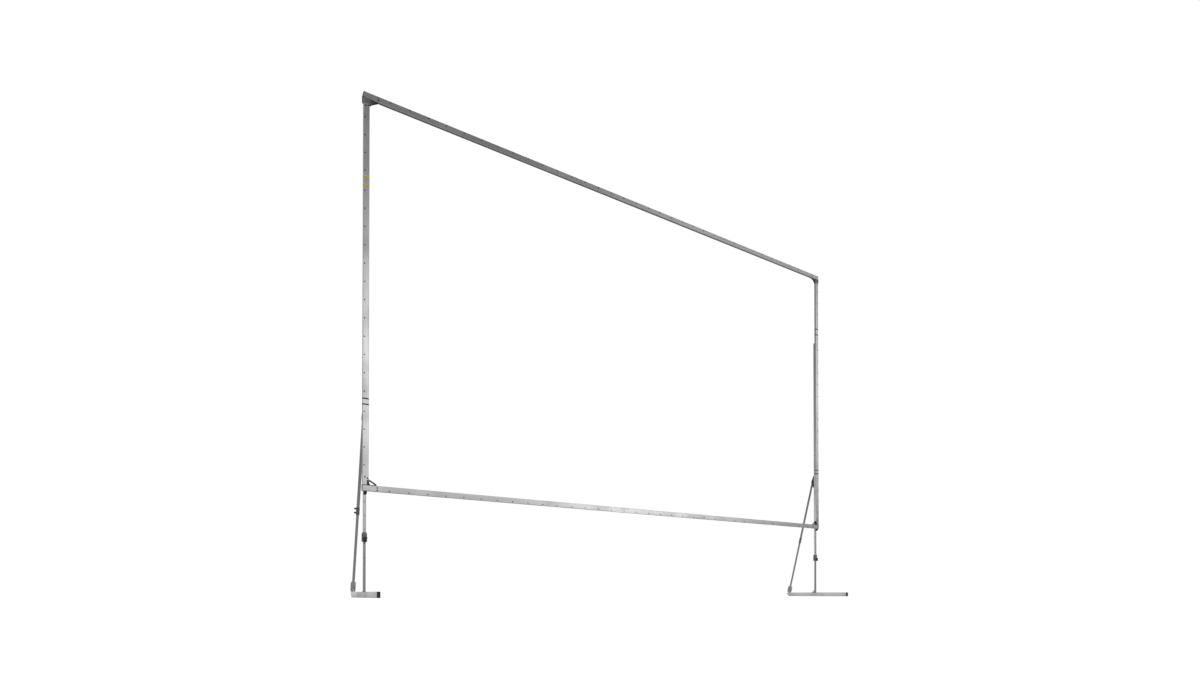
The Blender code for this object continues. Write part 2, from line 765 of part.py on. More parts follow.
def add_foot(side, x):
    """The telescoping tube, the foot it stands on and the foot's front cap."""
    axis = add_axis(f"{side}_leg_axis", (x, MAST_Y, 0))
    heights = [FIRST_MAST_HOLE - (i + 1) * HOLE_PITCH for i in range(TUBE_HOLES)]
    tube = square_tube(TUBE_SIZE, TUBE_WALL, FOOT_HEIGHT + FIT, TUBE_TOP)
    tube = cut(tube, *front_holes(heights, TUBE_SIZE, TUBE_WALL))
    add_piece(f"{side}_leg_tube", tube, "anodised_aluminium", parent=axis)

    start = -FOOT_FRONT + FOOT_CAP + FIT
    section = eased_rectangle(PROFILE_DEPTH, PROFILE_FACE, PROFILE_EDGE, (0, FOOT_HEIGHT / 2))
    bore = rectangle(BORE_DEPTH, BORE_FACE, (0, FOOT_HEIGHT / 2))
    beam = cut(
        prism(section, start, FOOT_REAR, "Y"),
        prism(bore, start - WELD, FOOT_REAR - FOOT_SOLID_END, "Y"),
        prism(
            [
                (FOOT_REAR - FOOT_CHAMFER, -WELD),
                (FOOT_REAR + WELD, -WELD),
                (FOOT_REAR + WELD, FOOT_CHAMFER),
                (FOOT_REAR, FOOT_CHAMFER),
                (FOOT_REAR - FOOT_CHAMFER, 0),
            ],
            -PROFILE_DEPTH,
            PROFILE_DEPTH,
            "X",
        ),
    )
    heel = TUBE_SIZE / 2 + FIT
    gusset = prism(
        [
            (heel, FOOT_HEIGHT - WELD),
            (heel + FOOT_GUSSET, FOOT_HEIGHT - WELD),
            (heel, FOOT_HEIGHT + FOOT_GUSSET),
        ],
        -FOOT_GUSSET_THICKNESS / 2,
        FOOT_GUSSET_THICKNESS / 2,
        "X",
    )
    eye = (FOOT_REAR - LUG_FROM_END, PIN_HEIGHT)
    slot_radius = PIN_RADIUS + PIN_DRIFT_UP
    slot_front = PIN_DRIFT_FRONT - PIN_DRIFT_UP
    slot_rear = max(PIN_DRIFT_REAR - PIN_DRIFT_UP, FIT)
    rim = slot_radius + LUG_RIM
    crown = arc((eye[0] + slot_rear, eye[1]), rim, 0, 90, STUD_SIDES // 2) + arc(
        (eye[0] - slot_front, eye[1]), rim, 90, 180, STUD_SIDES // 2
    )
    lug = prism(
        crown
        + [
            (eye[0] - slot_front - rim, FOOT_HEIGHT - WELD),
            (eye[0] + slot_rear + rim, FOOT_HEIGHT - WELD),
        ],
        -LUG_THICKNESS / 2,
        LUG_THICKNESS / 2,
        "X",
    )
    slot = prism(
        slot_outline(slot_front, slot_rear, slot_radius, eye),
        -LUG_THICKNESS,
        LUG_THICKNESS,
        "X",
    )
    foot = joined(beam, gusset, cut(lug, slot))
    add_piece(f"{side}_foot", foot, "anodised_aluminium", parent=axis)

    plug = rectangle(BORE_DEPTH - 2 * FIT, BORE_FACE - 2 * FIT, (0, FOOT_HEIGHT / 2))
    cap = joined(
        prism(section, -FOOT_FRONT, -FOOT_FRONT + FOOT_CAP, "Y"),
        prism(plug, -FOOT_FRONT + FOOT_CAP - WELD, start + CAP_PLUG, "Y"),
    )
    add_piece(f"{side}_foot_cap", cap, "black_plastic", parent=axis)


def add_brace_bracket(side, x):
    """The clevis behind the mast, with the brace's upper pin."""
    inner = BRACE_RADIUS + SLIDE_FIT
    outer = inner + BRACKET_CHEEK
    base = FIT + MAST_SIZE / 2
    half = BRACKET_HEIGHT / 2
    plate = block((-outer, outer), (base, base + BRACKET_PLATE), (-half, half))
    eye_y = MAST_SIZE / 2 + PIVOT_BEHIND_MAST
    rear = base + BRACKET_PLATE
    tangent = math.acos(BRACKET_EYE / math.hypot(eye_y - rear, half))
    turn = math.degrees(math.atan2(half, rear - eye_y) - tangent)
    cheek = (
        [(base, -half), (rear, -half)]
        + arc((eye_y, 0), BRACKET_EYE, -turn, turn, STUD_SIDES)
        + [(rear, half), (base, half)]
    )
    cheeks = [prism(cheek, sign * inner, sign * outer, "X") for sign in (-1, 1)]
    pin = prism(circle(PIN_RADIUS, PIN_SIDES, (eye_y, 0)), -inner - WELD, inner + WELD, "X")
    bracket = joined(plate, *cheeks, pin)
    add_piece(f"{side}_brace_bracket", bracket, "dark_fitting", (x, MAST_Y, PIVOT_HEIGHT))


def knob_outline():
    """The lobed round of a hand knob."""
    count = 4 * KNOB_LOBES
    points = []
    for i in range(count):
        turn = 2 * math.pi * i / count
        radius = KNOB_RADIUS - KNOB_FLUTE * (1 - math.cos(KNOB_LOBES * turn)) / 2
        points.append((radius * math.cos(turn), radius * math.sin(turn)))
    return points


def add_knob(side, name, sign, height, grips, parent):
    """One clamping knob, outwards and to the rear, with the stem that bears on a tube."""
    face = CLAMP_SIZE / 2 + KNOB_GAP
    grip = prism(knob_outline(), face, face + KNOB_LENGTH, "X")
    stem = prism(circle(KNOB_STEM_RADIUS, PIN_SIDES), grips + FIT, face + WELD, "X")
    knob = moved(mirrored(joined(grip, stem), (sign, 1, 1)), turn=sign * KNOB_ANGLE, axis="Z")
    add_piece(
        f"{side}_brace_knob_{name}", knob, "black_plastic", (0, 0, height), parent=parent
    )


def add_brace(side, sign, x):
    """The brace: upper tube, clamp with two knobs, lower rod and its fork."""
    axis = add_axis(f"{side}_brace_axis", (x, PIVOT_Y, PIVOT_HEIGHT), (BRACE_LEAN, 0, 0))
    pin_hole = circle(PIN_RADIUS + FIT, PIN_SIDES)
    tube = cut(
        round_tube(BRACE_RADIUS, BRACE_WALL, -BRACE_TUBE_END, BRACE_TIP),
        prism(pin_hole, -2 * BRACE_RADIUS, 2 * BRACE_RADIUS, "X"),
    )
    add_piece(f"{side}_brace_tube", tube, "brace_aluminium", parent=axis)

    seat = -BRACE_TUBE_END - FIT
    low = seat - CLAMP_LENGTH / 2
    high = seat + CLAMP_LENGTH / 2
    knobs = {
        "upper": (seat + KNOB_SPACING / 2, BRACE_RADIUS),
        "lower": (seat - KNOB_SPACING / 2, ROD_RADIUS),
    }
    clamp = cut(
        prism(circle(CLAMP_SIZE / 2, BRACE_SIDES), low, high, "Z"),
        prism(circle(BRACE_RADIUS + FIT, BRACE_SIDES), seat, high + WELD, "Z"),
        prism(circle(ROD_RADIUS + SLIDE_FIT, BRACE_SIDES), low - WELD, seat + WELD, "Z"),
    )
    for height, _ in knobs.values():
        hole = circle(KNOB_STEM_RADIUS + FIT, PIN_SIDES, (0, height))
        drill = prism(hole, 0, sign * CLAMP_SIZE, "X")
        clamp = cut(clamp, moved(drill, turn=sign * KNOB_ANGLE, axis="Z"))
    add_piece(f"{side}_brace_clamp", clamp, "dark_fitting", parent=axis)
    for name, (height, grips) in knobs.items():
        add_knob(side, name, sign, height, grips, axis)

    socket = -BRACE_LENGTH + FORK_SOCKET
    rod = round_tube(ROD_RADIUS, ROD_WALL, socket + FIT, -BRACE_TUBE_END + ROD_INSIDE)
    add_piece(f"{side}_brace_rod", rod, "brace_aluminium", parent=axis)

    half = FORK_WIDTH / 2
    outline = arc((0, 0), half, 180, 360, FORK_ROUND_STEPS) + [
        (half, FORK_STRAIGHT),
        (FORK_NECK / 2, FORK_TOP),
        (-FORK_NECK / 2, FORK_TOP),
        (-half, FORK_STRAIGHT),
    ]
    fork = moved(
        prism(outline, -FORK_THICKNESS / 2, FORK_THICKNESS / 2, "X"), (0, 0, -BRACE_LENGTH)
    )
    gap = LUG_THICKNESS / 2 + SLIDE_FIT
    lug_top = PIN_RADIUS + PIN_DRIFT_UP + LUG_RIM + PIN_DRIFT_FRONT
    fork = cut(
        fork,
        prism(circle(ROD_RADIUS + FIT, BRACE_SIDES), socket, socket + FORK_TOP, "Z"),
        block(
            (-gap, gap),
            (-FORK_WIDTH, FORK_WIDTH),
            (-BRACE_LENGTH - FORK_WIDTH, -BRACE_LENGTH + lug_top),
        ),
    )
    pin = prism(
        circle(PIN_RADIUS, PIN_SIDES, (0, -BRACE_LENGTH)), -gap - WELD, gap + WELD, "X"
    )
    add_piece(f"{side}_brace_fork", joined(fork, pin), "dark_fitting", parent=axis)


def main():
    """Build the frame and its two legs."""
    clear_scene()
    add_rails()
    add_uprights()
    add_corners()
    for side, sign in SIDES.items():
        x = sign * LEG_X
        add_mast(side, x)
        add_hangers(side, x)
        add_collar(side, x)
        add_foot(side, x)
        add_brace_bracket(side, x)
        add_brace(side, sign, x)


main()
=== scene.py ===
"""Looks of a portable projection screen frame on two telescopic legs.

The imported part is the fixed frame. This script gives each of its solids a procedural finish, puts
eased, smoothed or drilled copies in the place of fittings and tubes, and adds what is too fine for
the solids: press studs, corner bolts, joint bands and weld beads. A plain studio and a camera near
the floor, in front and to the left, complete the scene.
"""

import json
import logging
import math
from dataclasses import dataclass
from enum import Enum
from typing import ClassVar

import bmesh
import bpy
from bpy.types import ID, Material, Mesh, NodeTree, Object
from bpy.types import NodeSocket as Socket
from mathutils import Matrix, Vector

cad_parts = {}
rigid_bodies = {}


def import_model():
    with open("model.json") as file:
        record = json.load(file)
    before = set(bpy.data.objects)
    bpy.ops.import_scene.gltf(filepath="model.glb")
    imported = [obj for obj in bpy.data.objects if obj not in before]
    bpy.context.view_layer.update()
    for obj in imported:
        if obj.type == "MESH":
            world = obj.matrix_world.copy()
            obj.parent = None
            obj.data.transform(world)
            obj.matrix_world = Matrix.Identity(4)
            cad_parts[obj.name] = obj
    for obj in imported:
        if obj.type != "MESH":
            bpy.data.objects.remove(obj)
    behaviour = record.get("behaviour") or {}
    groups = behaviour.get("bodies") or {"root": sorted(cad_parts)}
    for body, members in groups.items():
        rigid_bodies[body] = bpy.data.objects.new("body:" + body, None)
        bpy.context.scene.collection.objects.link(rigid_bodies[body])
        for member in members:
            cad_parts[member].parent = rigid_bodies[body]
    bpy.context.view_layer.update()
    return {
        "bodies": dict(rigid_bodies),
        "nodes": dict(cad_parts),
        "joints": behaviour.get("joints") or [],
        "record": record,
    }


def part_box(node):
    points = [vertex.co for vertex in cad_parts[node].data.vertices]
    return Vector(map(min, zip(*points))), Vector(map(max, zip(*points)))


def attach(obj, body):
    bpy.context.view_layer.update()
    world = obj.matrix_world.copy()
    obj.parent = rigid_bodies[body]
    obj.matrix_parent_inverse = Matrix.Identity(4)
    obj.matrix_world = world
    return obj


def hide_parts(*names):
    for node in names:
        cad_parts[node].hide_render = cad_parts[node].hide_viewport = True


LOG = logging.getLogger("screen_frame")
PROFILE_DEPTH = 0.032
TO_THE_FRONT = (math.radians(90), 0.0, 0.0)
WHITE = (1.0, 1.0, 1.0, 1.0)

Triple = tuple[float, float, float]
Colour = Triple


class Labelled(Enum):
    """Members whose names are part of the names of pieces."""

    @property
    def label(self) -> str:
        """The word that a piece's name has for this member."""
        return self.name.lower()


class Side(Labelled):
    """The two legs, as the audience sees them, with the sign of their X."""

    LEFT = -1
    RIGHT = 1


class Level(Labelled):
    """The two rails, with the way from each to the middle of the picture."""

    BOTTOM = 1
    TOP = -1


class Run(Enum):
    """The way a length runs, as the turn in degrees that lays its grain along X."""

    ACROSS = (0.0, 0.0, 0.0)
    TO_THE_REAR = (0.0, 0.0, -90.0)
    UP = (0.0, 90.0, 0.0)
    LEANING = (-15.3, 90.0, 0.0)

    @property
    def turn(self) -> Triple:
        """The turn in radians, for a Mapping node."""
        return tuple(math.radians(angle) for angle in self.value)


def cleared(owner: ID) -> NodeTree:
    """Turn on the nodes of a material or a world, and empty them.

    Args:
        owner: The material or the world.

    Returns:
        Its node tree.
    """
    owner.use_nodes = True
    owner.node_tree.nodes.clear()
    return owner.node_tree


def linked(name: str, data: ID) -> Object:
    """Put a mesh, a lamp or a camera into the scene.

    Args:
        name: The object's name.
        data: What it shows.

    Returns:
        The object, at the origin.
    """
    thing = bpy.data.objects.new(name, data)
    bpy.context.scene.collection.objects.link(thing)
    return thing


def evaluated(carrier: Object, name: str) -> Mesh:
    """Take the mesh that an object's modifiers make.

    Args:
        carrier: The object.
        name: The mesh's name.

    Returns:
        The plain mesh.
    """
    graph = bpy.context.evaluated_depsgraph_get()
    mesh = bpy.data.meshes.new_from_object(carrier.evaluated_get(graph))
    mesh.name = name
    return mesh


def mesh_of(shape: bmesh.types.BMesh, name: str) -> Mesh:
    """Keep an edited shape as a mesh.

    Args:
        shape: The shape. It is used up.
        name: The mesh's name.

    Returns:
        The mesh.
    """
    mesh = bpy.data.meshes.new(name)
    shape.to_mesh(mesh)
    shape.free()
    return mesh


def point_mesh(
    name: str, points: list[Vector], edges: list[tuple[int, int]] | None = None
) -> Mesh:
    """Make a seed mesh of bare points, or of points joined by edges.

    Args:
        name: The mesh's name.
        points: The points' places.
        edges: Pairs of point numbers.

    Returns:
        The mesh.
    """
    mesh = bpy.data.meshes.new(name)
    mesh.from_pydata([tuple(point) for point in points], edges or [], [])
    return mesh


class Nodes:
    """A node tree that is filled node by node."""

    def __init__(self, tree: NodeTree) -> None:
        """Wrap a tree.

        Args:
            tree: The tree of a material, a world or a node group.
        """
        self.tree = tree

    def add(self, kind: str, values: dict | None = None, **settings: object) -> bpy.types.Node:
        """Add one node.

        Args:
            kind: Blender's name of the node type.
            values: Input values or sockets to link from, by the input's name or index.
            settings: The node's own properties.

        Returns:
            The new node.
        """
        node = self.tree.nodes.new(kind)
        for name, value in settings.items():
            setattr(node, name, value)
        for key, value in (values or {}).items():
            if isinstance(value, Socket):
                self.tree.links.new(value, node.inputs[key])
            else:
                node.inputs[key].default_value = value
        return node

    def math(self, operation: str, *values: object, clamp: bool = False) -> Socket:
        """Add a Math node.

        Args:
            operation: Blender's name of the operation.
            values: Its inputs in order, numbers or sockets.
            clamp: Whether the result is held between 0 and 1.

        Returns:
            The result's socket.
        """
        inputs = dict(enumerate(values))
        node = self.add("ShaderNodeMath", inputs, operation=operation, use_clamp=clamp)
        return node.outputs[0]

    def vector(self, operation: str, first: Socket, second: object) -> Socket:
        """Add a Vector Math node.

        Args:
            operation: Blender's name of the operation.
            first: A vector's socket.
            second: A vector or its socket.

        Returns:
            The result's socket: a value for a dot product, else a vector.
        """
        node = self.add("ShaderNodeVectorMath", {0: first, 1: second}, operation=operation)
        return node.outputs["Value" if operation == "DOT_PRODUCT" else "Vector"]

    def ramp(self, value: Socket, low: float, high: float, least: float = 0.0) -> Socket:
        """Turn a value smoothly into a mask.

        Args:
            value: The socket to read.
            low: The value where the mask is at its least.
            high: The value where the mask is 1.
            least: The mask's lowest level.

        Returns:
            The mask's socket.
        """
        node = self.add(
            "ShaderNodeMapRange",
            {"Value": value, 1: low, 2: high, 3: least, 4: 1.0},
            interpolation_type="SMOOTHSTEP",
        )
        return node.outputs[0]

    def blend(self, share: object, first: object, second: object) -> Socket:
        """Mix two colours.

        Args:
            share: How much of the second colour shows, a number or a socket.
            first: A colour or a socket.
            second: A colour or a socket.

        Returns:
            The mixed colour's socket.
        """
        colours = {
            key: value if isinstance(value, Socket) else (*value, 1.0)
            for key, value in ((6, first), (7, second))
        }
        node = self.add("ShaderNodeMix", {0: share, **colours}, data_type="RGBA")
        return node.outputs[2]

    def noise(self, place: Socket, scale: object, detail: float = 2.0) -> Socket:
        """Add a noise pattern.

        Args:
            place: The coordinates to read.
            scale: Features per metre, a number or a socket.
            detail: How many finer layers it has.

        Returns:
            The pattern's value socket.
        """
        node = self.add("ShaderNodeTexNoise", {"Vector": place, "Scale": scale, "Detail": detail})
        return node.outputs[0]


class Group(Nodes):
    """A node group with named inputs and outputs."""

    def __init__(
        self, name: str, kind: str, inputs: dict[str, object], outputs: dict[str, str]
    ) -> None:
        """Make a group that has no nodes yet.

        Args:
            name: The group's name.
            kind: Blender's name of the tree type.
            inputs: The default of each number by its name, or the socket type of what is no number.
            outputs: The socket type of each output by its name.
        """
        super().__init__(bpy.data.node_groups.new(name, kind))
        face = self.tree.interface
        for key, value in inputs.items():
            number = "Int" if isinstance(value, int) else "Float"
            sort = value if isinstance(value, str) else number
            socket = face.new_socket(key, in_out="INPUT", socket_type=f"NodeSocket{sort}")
            if sort is number:
                socket.default_value = value
        for key, sort in outputs.items():
            face.new_socket(key, in_out="OUTPUT", socket_type=f"NodeSocket{sort}")
        self.given = self.add("NodeGroupInput").outputs


class Effect(Group):
    """A shader group that is shared by several finishes: it reads a place and one measure."""

    def __init__(self, name: str, measure: str, *outputs: str) -> None:
        """Make an empty effect.

        Args:
            name: The effect's name.
            measure: The name of its measure.
            outputs: The names of its masks and heights.
        """
        inputs = {"Place": "Vector", measure: 1.0}
        super().__init__(name, "ShaderNodeTree", inputs, dict.fromkeys(outputs, "Float"))
        self.place, self.measure = self.given["Place"], self.given[measure]

    def give(self, **values: Socket) -> NodeTree:
        """End the group.

        Args:
            values: A socket for each output by name.

        Returns:
            The finished group.
        """
        self.add("NodeGroupOutput", values)
        return self.tree


class SurfaceEffects:
    """The effects that the finishes share, each built once. Counts are per metre."""

    changes_along_lines = 0.6
    fine_line_share = 0.35
    scuffs = (90.0, 90.0, 14.0)
    breaks_in_wear = 45.0
    dust_specks = 120.0
    shade_patches = 22.0

    def __init__(self) -> None:
        """Build the groups."""
        self.groups = {
            "die_lines": self._die_lines(),
            "hand_marks": self._hand_marks(),
            "edge_wear": self._edge_wear(),
            "floor_dust": self._floor_dust(),
            "fine_grain": self._fine_grain(),
        }

    def _die_lines(self) -> NodeTree:
        """The long lines that a die leaves along X, as a tint and as a height."""
        effect = Effect("die_lines", "Closeness", "Tint", "Height")
        closeness = {0: self.changes_along_lines, 1: effect.measure, 2: effect.measure}
        stretch = effect.add("ShaderNodeCombineXYZ", closeness)
        drawn = effect.vector("MULTIPLY", effect.place, stretch.outputs[0])
        broad = effect.noise(drawn, 1.0, 1.0)
        fine = effect.noise(drawn, 4.0)
        rest = effect.math("MULTIPLY", broad, 1.0 - self.fine_line_share)
        tint = effect.math("MULTIPLY_ADD", fine, self.fine_line_share, rest)
        return effect.give(Tint=effect.ramp(tint, 0.3, 0.7), Height=fine)

    def _hand_marks(self) -> NodeTree:
        """The cloudy marks and short scuffs of handling, as two masks."""
        effect = Effect("hand_marks", "Size", "Marks", "Scuffs")
        cloud = effect.noise(effect.place, effect.math("DIVIDE", 1.0, effect.measure))
        scuff = effect.noise(effect.vector("MULTIPLY", effect.place, self.scuffs), 1.0, 3.0)
        marks = effect.ramp(cloud, 0.42, 0.72)
        return effect.give(Marks=marks, Scuffs=effect.ramp(scuff, 0.66, 0.74))

    def _edge_wear(self) -> NodeTree:
        """A mask of the rubbed edges, where a rounded normal leaves the true one."""
        effect = Effect("edge_wear", "Width", "Edges")
        rounded = effect.add("ShaderNodeBevel", {"Radius": effect.measure}, samples=4)
        true = effect.add("ShaderNodeNewGeometry").outputs["Normal"]
        edge = effect.ramp(effect.vector("DOT_PRODUCT", rounded.outputs[0], true), 0.99, 0.90)
        breaks = effect.noise(effect.place, self.breaks_in_wear, 3.0)
        broken = effect.ramp(breaks, 0.35, 0.65, least=0.2)
        return effect.give(Edges=effect.math("MULTIPLY", edge, broken))

    def _floor_dust(self) -> NodeTree:
        """A mask of the dust close to the floor, which thins out with height."""
        effect = Effect("floor_dust", "Height", "Dust")
        height = effect.add("ShaderNodeSeparateXYZ", {0: effect.place}).outputs["Z"]
        up = effect.math("DIVIDE", height, effect.measure)
        near = effect.math("SUBTRACT", 1.0, up, clamp=True)
        specks = effect.noise(effect.place, self.dust_specks, 4.0)
        speckle = effect.ramp(specks, 0.35, 0.7, least=0.1)
        return effect.give(Dust=effect.math("MULTIPLY", near, speckle))

    def _fine_grain(self) -> NodeTree:
        """The pebbled skin of a coat or a moulded part, as a height and a slow shade."""
        effect = Effect("fine_grain", "Closeness", "Height", "Shade")
        values = {"Vector": effect.place, "Scale": effect.measure}
        pebble = effect.add("ShaderNodeTexVoronoi", values, feature="SMOOTH_F1")
        patches = effect.noise(effect.place, self.shade_patches, 3.0)
        shade = effect.ramp(patches, 0.3, 0.7)
        return effect.give(Height=pebble.outputs["Distance"], Shade=shade)


@dataclass(frozen=True)
class Layer:
    """What lies on a finish where a mask shows: a colour, a change of roughness, or both.

    The colour is one of the finish's own, by its name. A second mask joins in by its own share,
    wherever that is more than the first.
    """

    mask: str
    share: float = 0.0
    colour: str = ""
    rough: float = 0.0
    second: str = ""
    second_share: float = 0.0


@dataclass(frozen=True)
class Finish:
    """A finish by its name. Each kind adds a ground colour and a roughness, and its effects."""

    name: str
    metallic: ClassVar[float] = 1.0
    specular: ClassVar[float] = 0.5
    relief: ClassVar[float]
    relief_strength: ClassVar[float] = 0.6
    measures: ClassVar[dict[str, float]]
    layers: ClassVar[tuple[Layer, ...]]

    def material(self, effects: SurfaceEffects) -> Material:
        """Build the finish: the ground colour, with each layer over it in turn.

        Args:
            effects: The shared effects.

        Returns:
            The material.
        """
        material = bpy.data.materials.new(self.name)
        nodes = Nodes(cleared(material))
        place = nodes.add("ShaderNodeTexCoord").outputs["Object"]
        masks: dict[str, Socket] = {}
        for name, measure in self.measures.items():
            along = place
            if name == "die_lines":
                turn = {"Vector": place, "Rotation": self.run.turn}
                along = nodes.add("ShaderNodeMapping", turn).outputs[0]
            group = effects.groups[name]
            effect = nodes.add("ShaderNodeGroup", {0: along, 1: measure}, node_tree=group)
            masks.update(effect.outputs.items())
        colour, rough = self.ground, self.roughness
        for layer in self.layers:
            mask = masks[layer.mask]
            if layer.second:
                second = nodes.math("MULTIPLY", masks[layer.second], layer.second_share)
                mask = nodes.math("MAXIMUM", mask, second)
            if layer.colour:
                share = nodes.math("MULTIPLY", mask, layer.share)
                colour = nodes.blend(share, colour, getattr(self, layer.colour))
            if layer.rough:
                rough = nodes.math("MULTIPLY_ADD", mask, layer.rough, rough)
        relief = {"Height": masks["Height"], "Distance": self.relief}
        bump = nodes.add("ShaderNodeBump", {**relief, "Strength": self.relief_strength})
        shader = nodes.add(
            "ShaderNodeBsdfPrincipled",
            {
                "Metallic": self.metallic,
                "Specular IOR Level": self.specular,
                "Base Color": colour,
                "Roughness": rough,
                "Normal": bump.outputs[0],
            },
        )
        nodes.add("ShaderNodeOutputMaterial", {"Surface": shader.outputs[0]})
        return material


@dataclass(frozen=True)
class AnodisedAluminium(Finish):
    """Satin anodised aluminium: lengthwise die lines, hand marks and brighter rubbed edges."""

    run: Run
    ground: Colour = (0.62, 0.625, 0.63)
    light: Colour = (0.74, 0.745, 0.75)
    edge: Colour = (0.84, 0.845, 0.85)
    marked: Colour = (0.56, 0.56, 0.555)
    dust: Colour = (0.60, 0.59, 0.56)
    roughness: float = 0.27
    relief = 0.00002
    measures = {"die_lines": 320.0, "hand_marks": 0.4, "edge_wear": 0.0015, "floor_dust": 0.045}
    layers = (
        Layer("Tint", 1.0, "light", -0.05),
        Layer("Marks", 0.35, "marked", 0.09),
        Layer("Edges", 0.6, "edge"),
        Layer("Dust", 0.25, "dust", 0.08),
    )


@dataclass(frozen=True)
class DrawnTube(Finish):
    """Darker drawn aluminium tube with scuffs where it slides."""

    ground: Colour = (0.42, 0.424, 0.428)
    light: Colour = (0.54, 0.544, 0.548)
    scuffed: Colour = (0.62, 0.62, 0.62)
    roughness: float = 0.40
    run = Run.LEANING
    relief = 0.00003
    measures = {"die_lines": 420.0, "hand_marks": 0.25, "edge_wear": 0.0010}
    layers = (
        Layer("Tint", 1.0, "light"),
        Layer("Edges", 1.0, "scuffed", second="Scuffs", second_share=0.5),
        Layer("Marks", rough=0.12),
    )


@dataclass(frozen=True)
class PowderCoat(Finish):
    """Dark powder coat on a metal fitting, rubbed through to grey at its edges."""

    ground: Colour = (0.050, 0.051, 0.052)
    light: Colour = (0.080, 0.081, 0.083)
    rubbed: Colour = (0.28, 0.28, 0.285)
    roughness: float = 0.52
    metallic, specular = 0.2, 0.3
    relief = 0.00010
    measures = {"fine_grain": 1100.0, "hand_marks": 0.08, "edge_wear": 0.0010}
    layers = (
        Layer("Shade", 1.0, "light"),
        Layer("Edges", 0.7, "rubbed", -0.12, second="Scuffs", second_share=0.35),
        Layer("Marks", rough=0.12),
    )


@dataclass(frozen=True)
class MouldedPlastic(Finish):
    """Black moulded plastic with a fine grain, paler at its edges and dusty near the floor."""

    ground: Colour = (0.014, 0.014, 0.015)
    light: Colour = (0.030, 0.030, 0.032)
    rubbed: Colour = (0.085, 0.085, 0.088)
    dust: Colour = (0.20, 0.19, 0.18)
    roughness: float = 0.45
    metallic = 0.0
    relief = 0.00012
    measures = {"fine_grain": 1500.0, "edge_wear": 0.0008, "floor_dust": 0.03}
    layers = (
        Layer("Shade", 1.0, "light", 0.10),
        Layer("Edges", 0.6, "rubbed"),
        Layer("Dust", 0.3, "dust"),
    )


@dataclass(frozen=True)
class JointTape(Finish):
    """Coloured marking tape round a joint, a little soiled."""

    ground: Colour
    soiled: Colour
    roughness: float = 0.42
    metallic = 0.0
    relief = 0.00004
    measures = {"fine_grain": 2200.0, "hand_marks": 0.03}
    layers = (Layer("Marks", 0.55, "soiled", 0.15),)


@dataclass(frozen=True)
class PlatedSteel(Finish):
    """Plated steel of studs and bolts, dulled in its hollows and bright where it is rubbed."""

    ground: Colour
    bright: Colour
    roughness: float
    relief = 0.00003
    measures = {"fine_grain": 2600.0, "hand_marks": 0.05, "edge_wear": 0.0006}
    layers = (
        Layer("Edges", 1.0, "bright", second="Shade", second_share=0.3),
        Layer("Marks", rough=0.18),
    )


class Coat(Enum):
    """Every finish on the object."""

    RAIL = AnodisedAluminium("anodised_rail", Run.ACROSS)
    UPRIGHT = AnodisedAluminium("anodised_upright", Run.UP)
    # Painted light: the feet get the anodised finish with paler ground and light colours, which
    # makes them brighter than the same aluminium elsewhere.
    FOOT = AnodisedAluminium(
        "anodised_foot", Run.TO_THE_REAR, (0.87, 0.875, 0.88), (0.94, 0.945, 0.95), roughness=0.33
    )
    LEG_TUBE = AnodisedAluminium(
        "anodised_leg_tube",
        Run.UP,
        (0.44, 0.443, 0.446),
        (0.53, 0.533, 0.537),
        edge=(0.62, 0.624, 0.63),
        marked=(0.40, 0.40, 0.396),
    )
    BRACE = DrawnTube("drawn_brace_tube")
    FITTING = PowderCoat("powder_coated_fitting")
    # The top corners' fittings: the same powder coat as the bottom ones, in paler colours.
    WORN_FITTING = PowderCoat(
        "worn_powder_coated_fitting", (0.115, 0.116, 0.118), (0.160, 0.161, 0.164)
    )
    STAY = PowderCoat("powder_coated_stay", (0.024, 0.024, 0.025), (0.042, 0.042, 0.043))
    COLLAR = PowderCoat("powder_coated_collar", (0.17, 0.172, 0.175), (0.23, 0.232, 0.235))
    FORK = PowderCoat("powder_coated_fork", (0.40, 0.402, 0.405), (0.50, 0.502, 0.505))
    PLASTIC = MouldedPlastic("moulded_black_plastic")
    STUD = PlatedSteel("plated_press_stud", (0.028, 0.028, 0.030), (0.14, 0.14, 0.145), 0.42)
    BOLT = PlatedSteel("plated_bolt", (0.05, 0.05, 0.052), (0.24, 0.24, 0.245), 0.40)
    WELD = PlatedSteel("weld_bead", (0.12, 0.12, 0.122), (0.34, 0.34, 0.345), 0.46)
    YELLOW_TAPE = JointTape("yellow_joint_tape", (0.76, 0.50, 0.010), (0.52, 0.34, 0.02))
    BLACK_TAPE = JointTape("black_joint_tape", (0.016, 0.016, 0.017), (0.045, 0.045, 0.046))


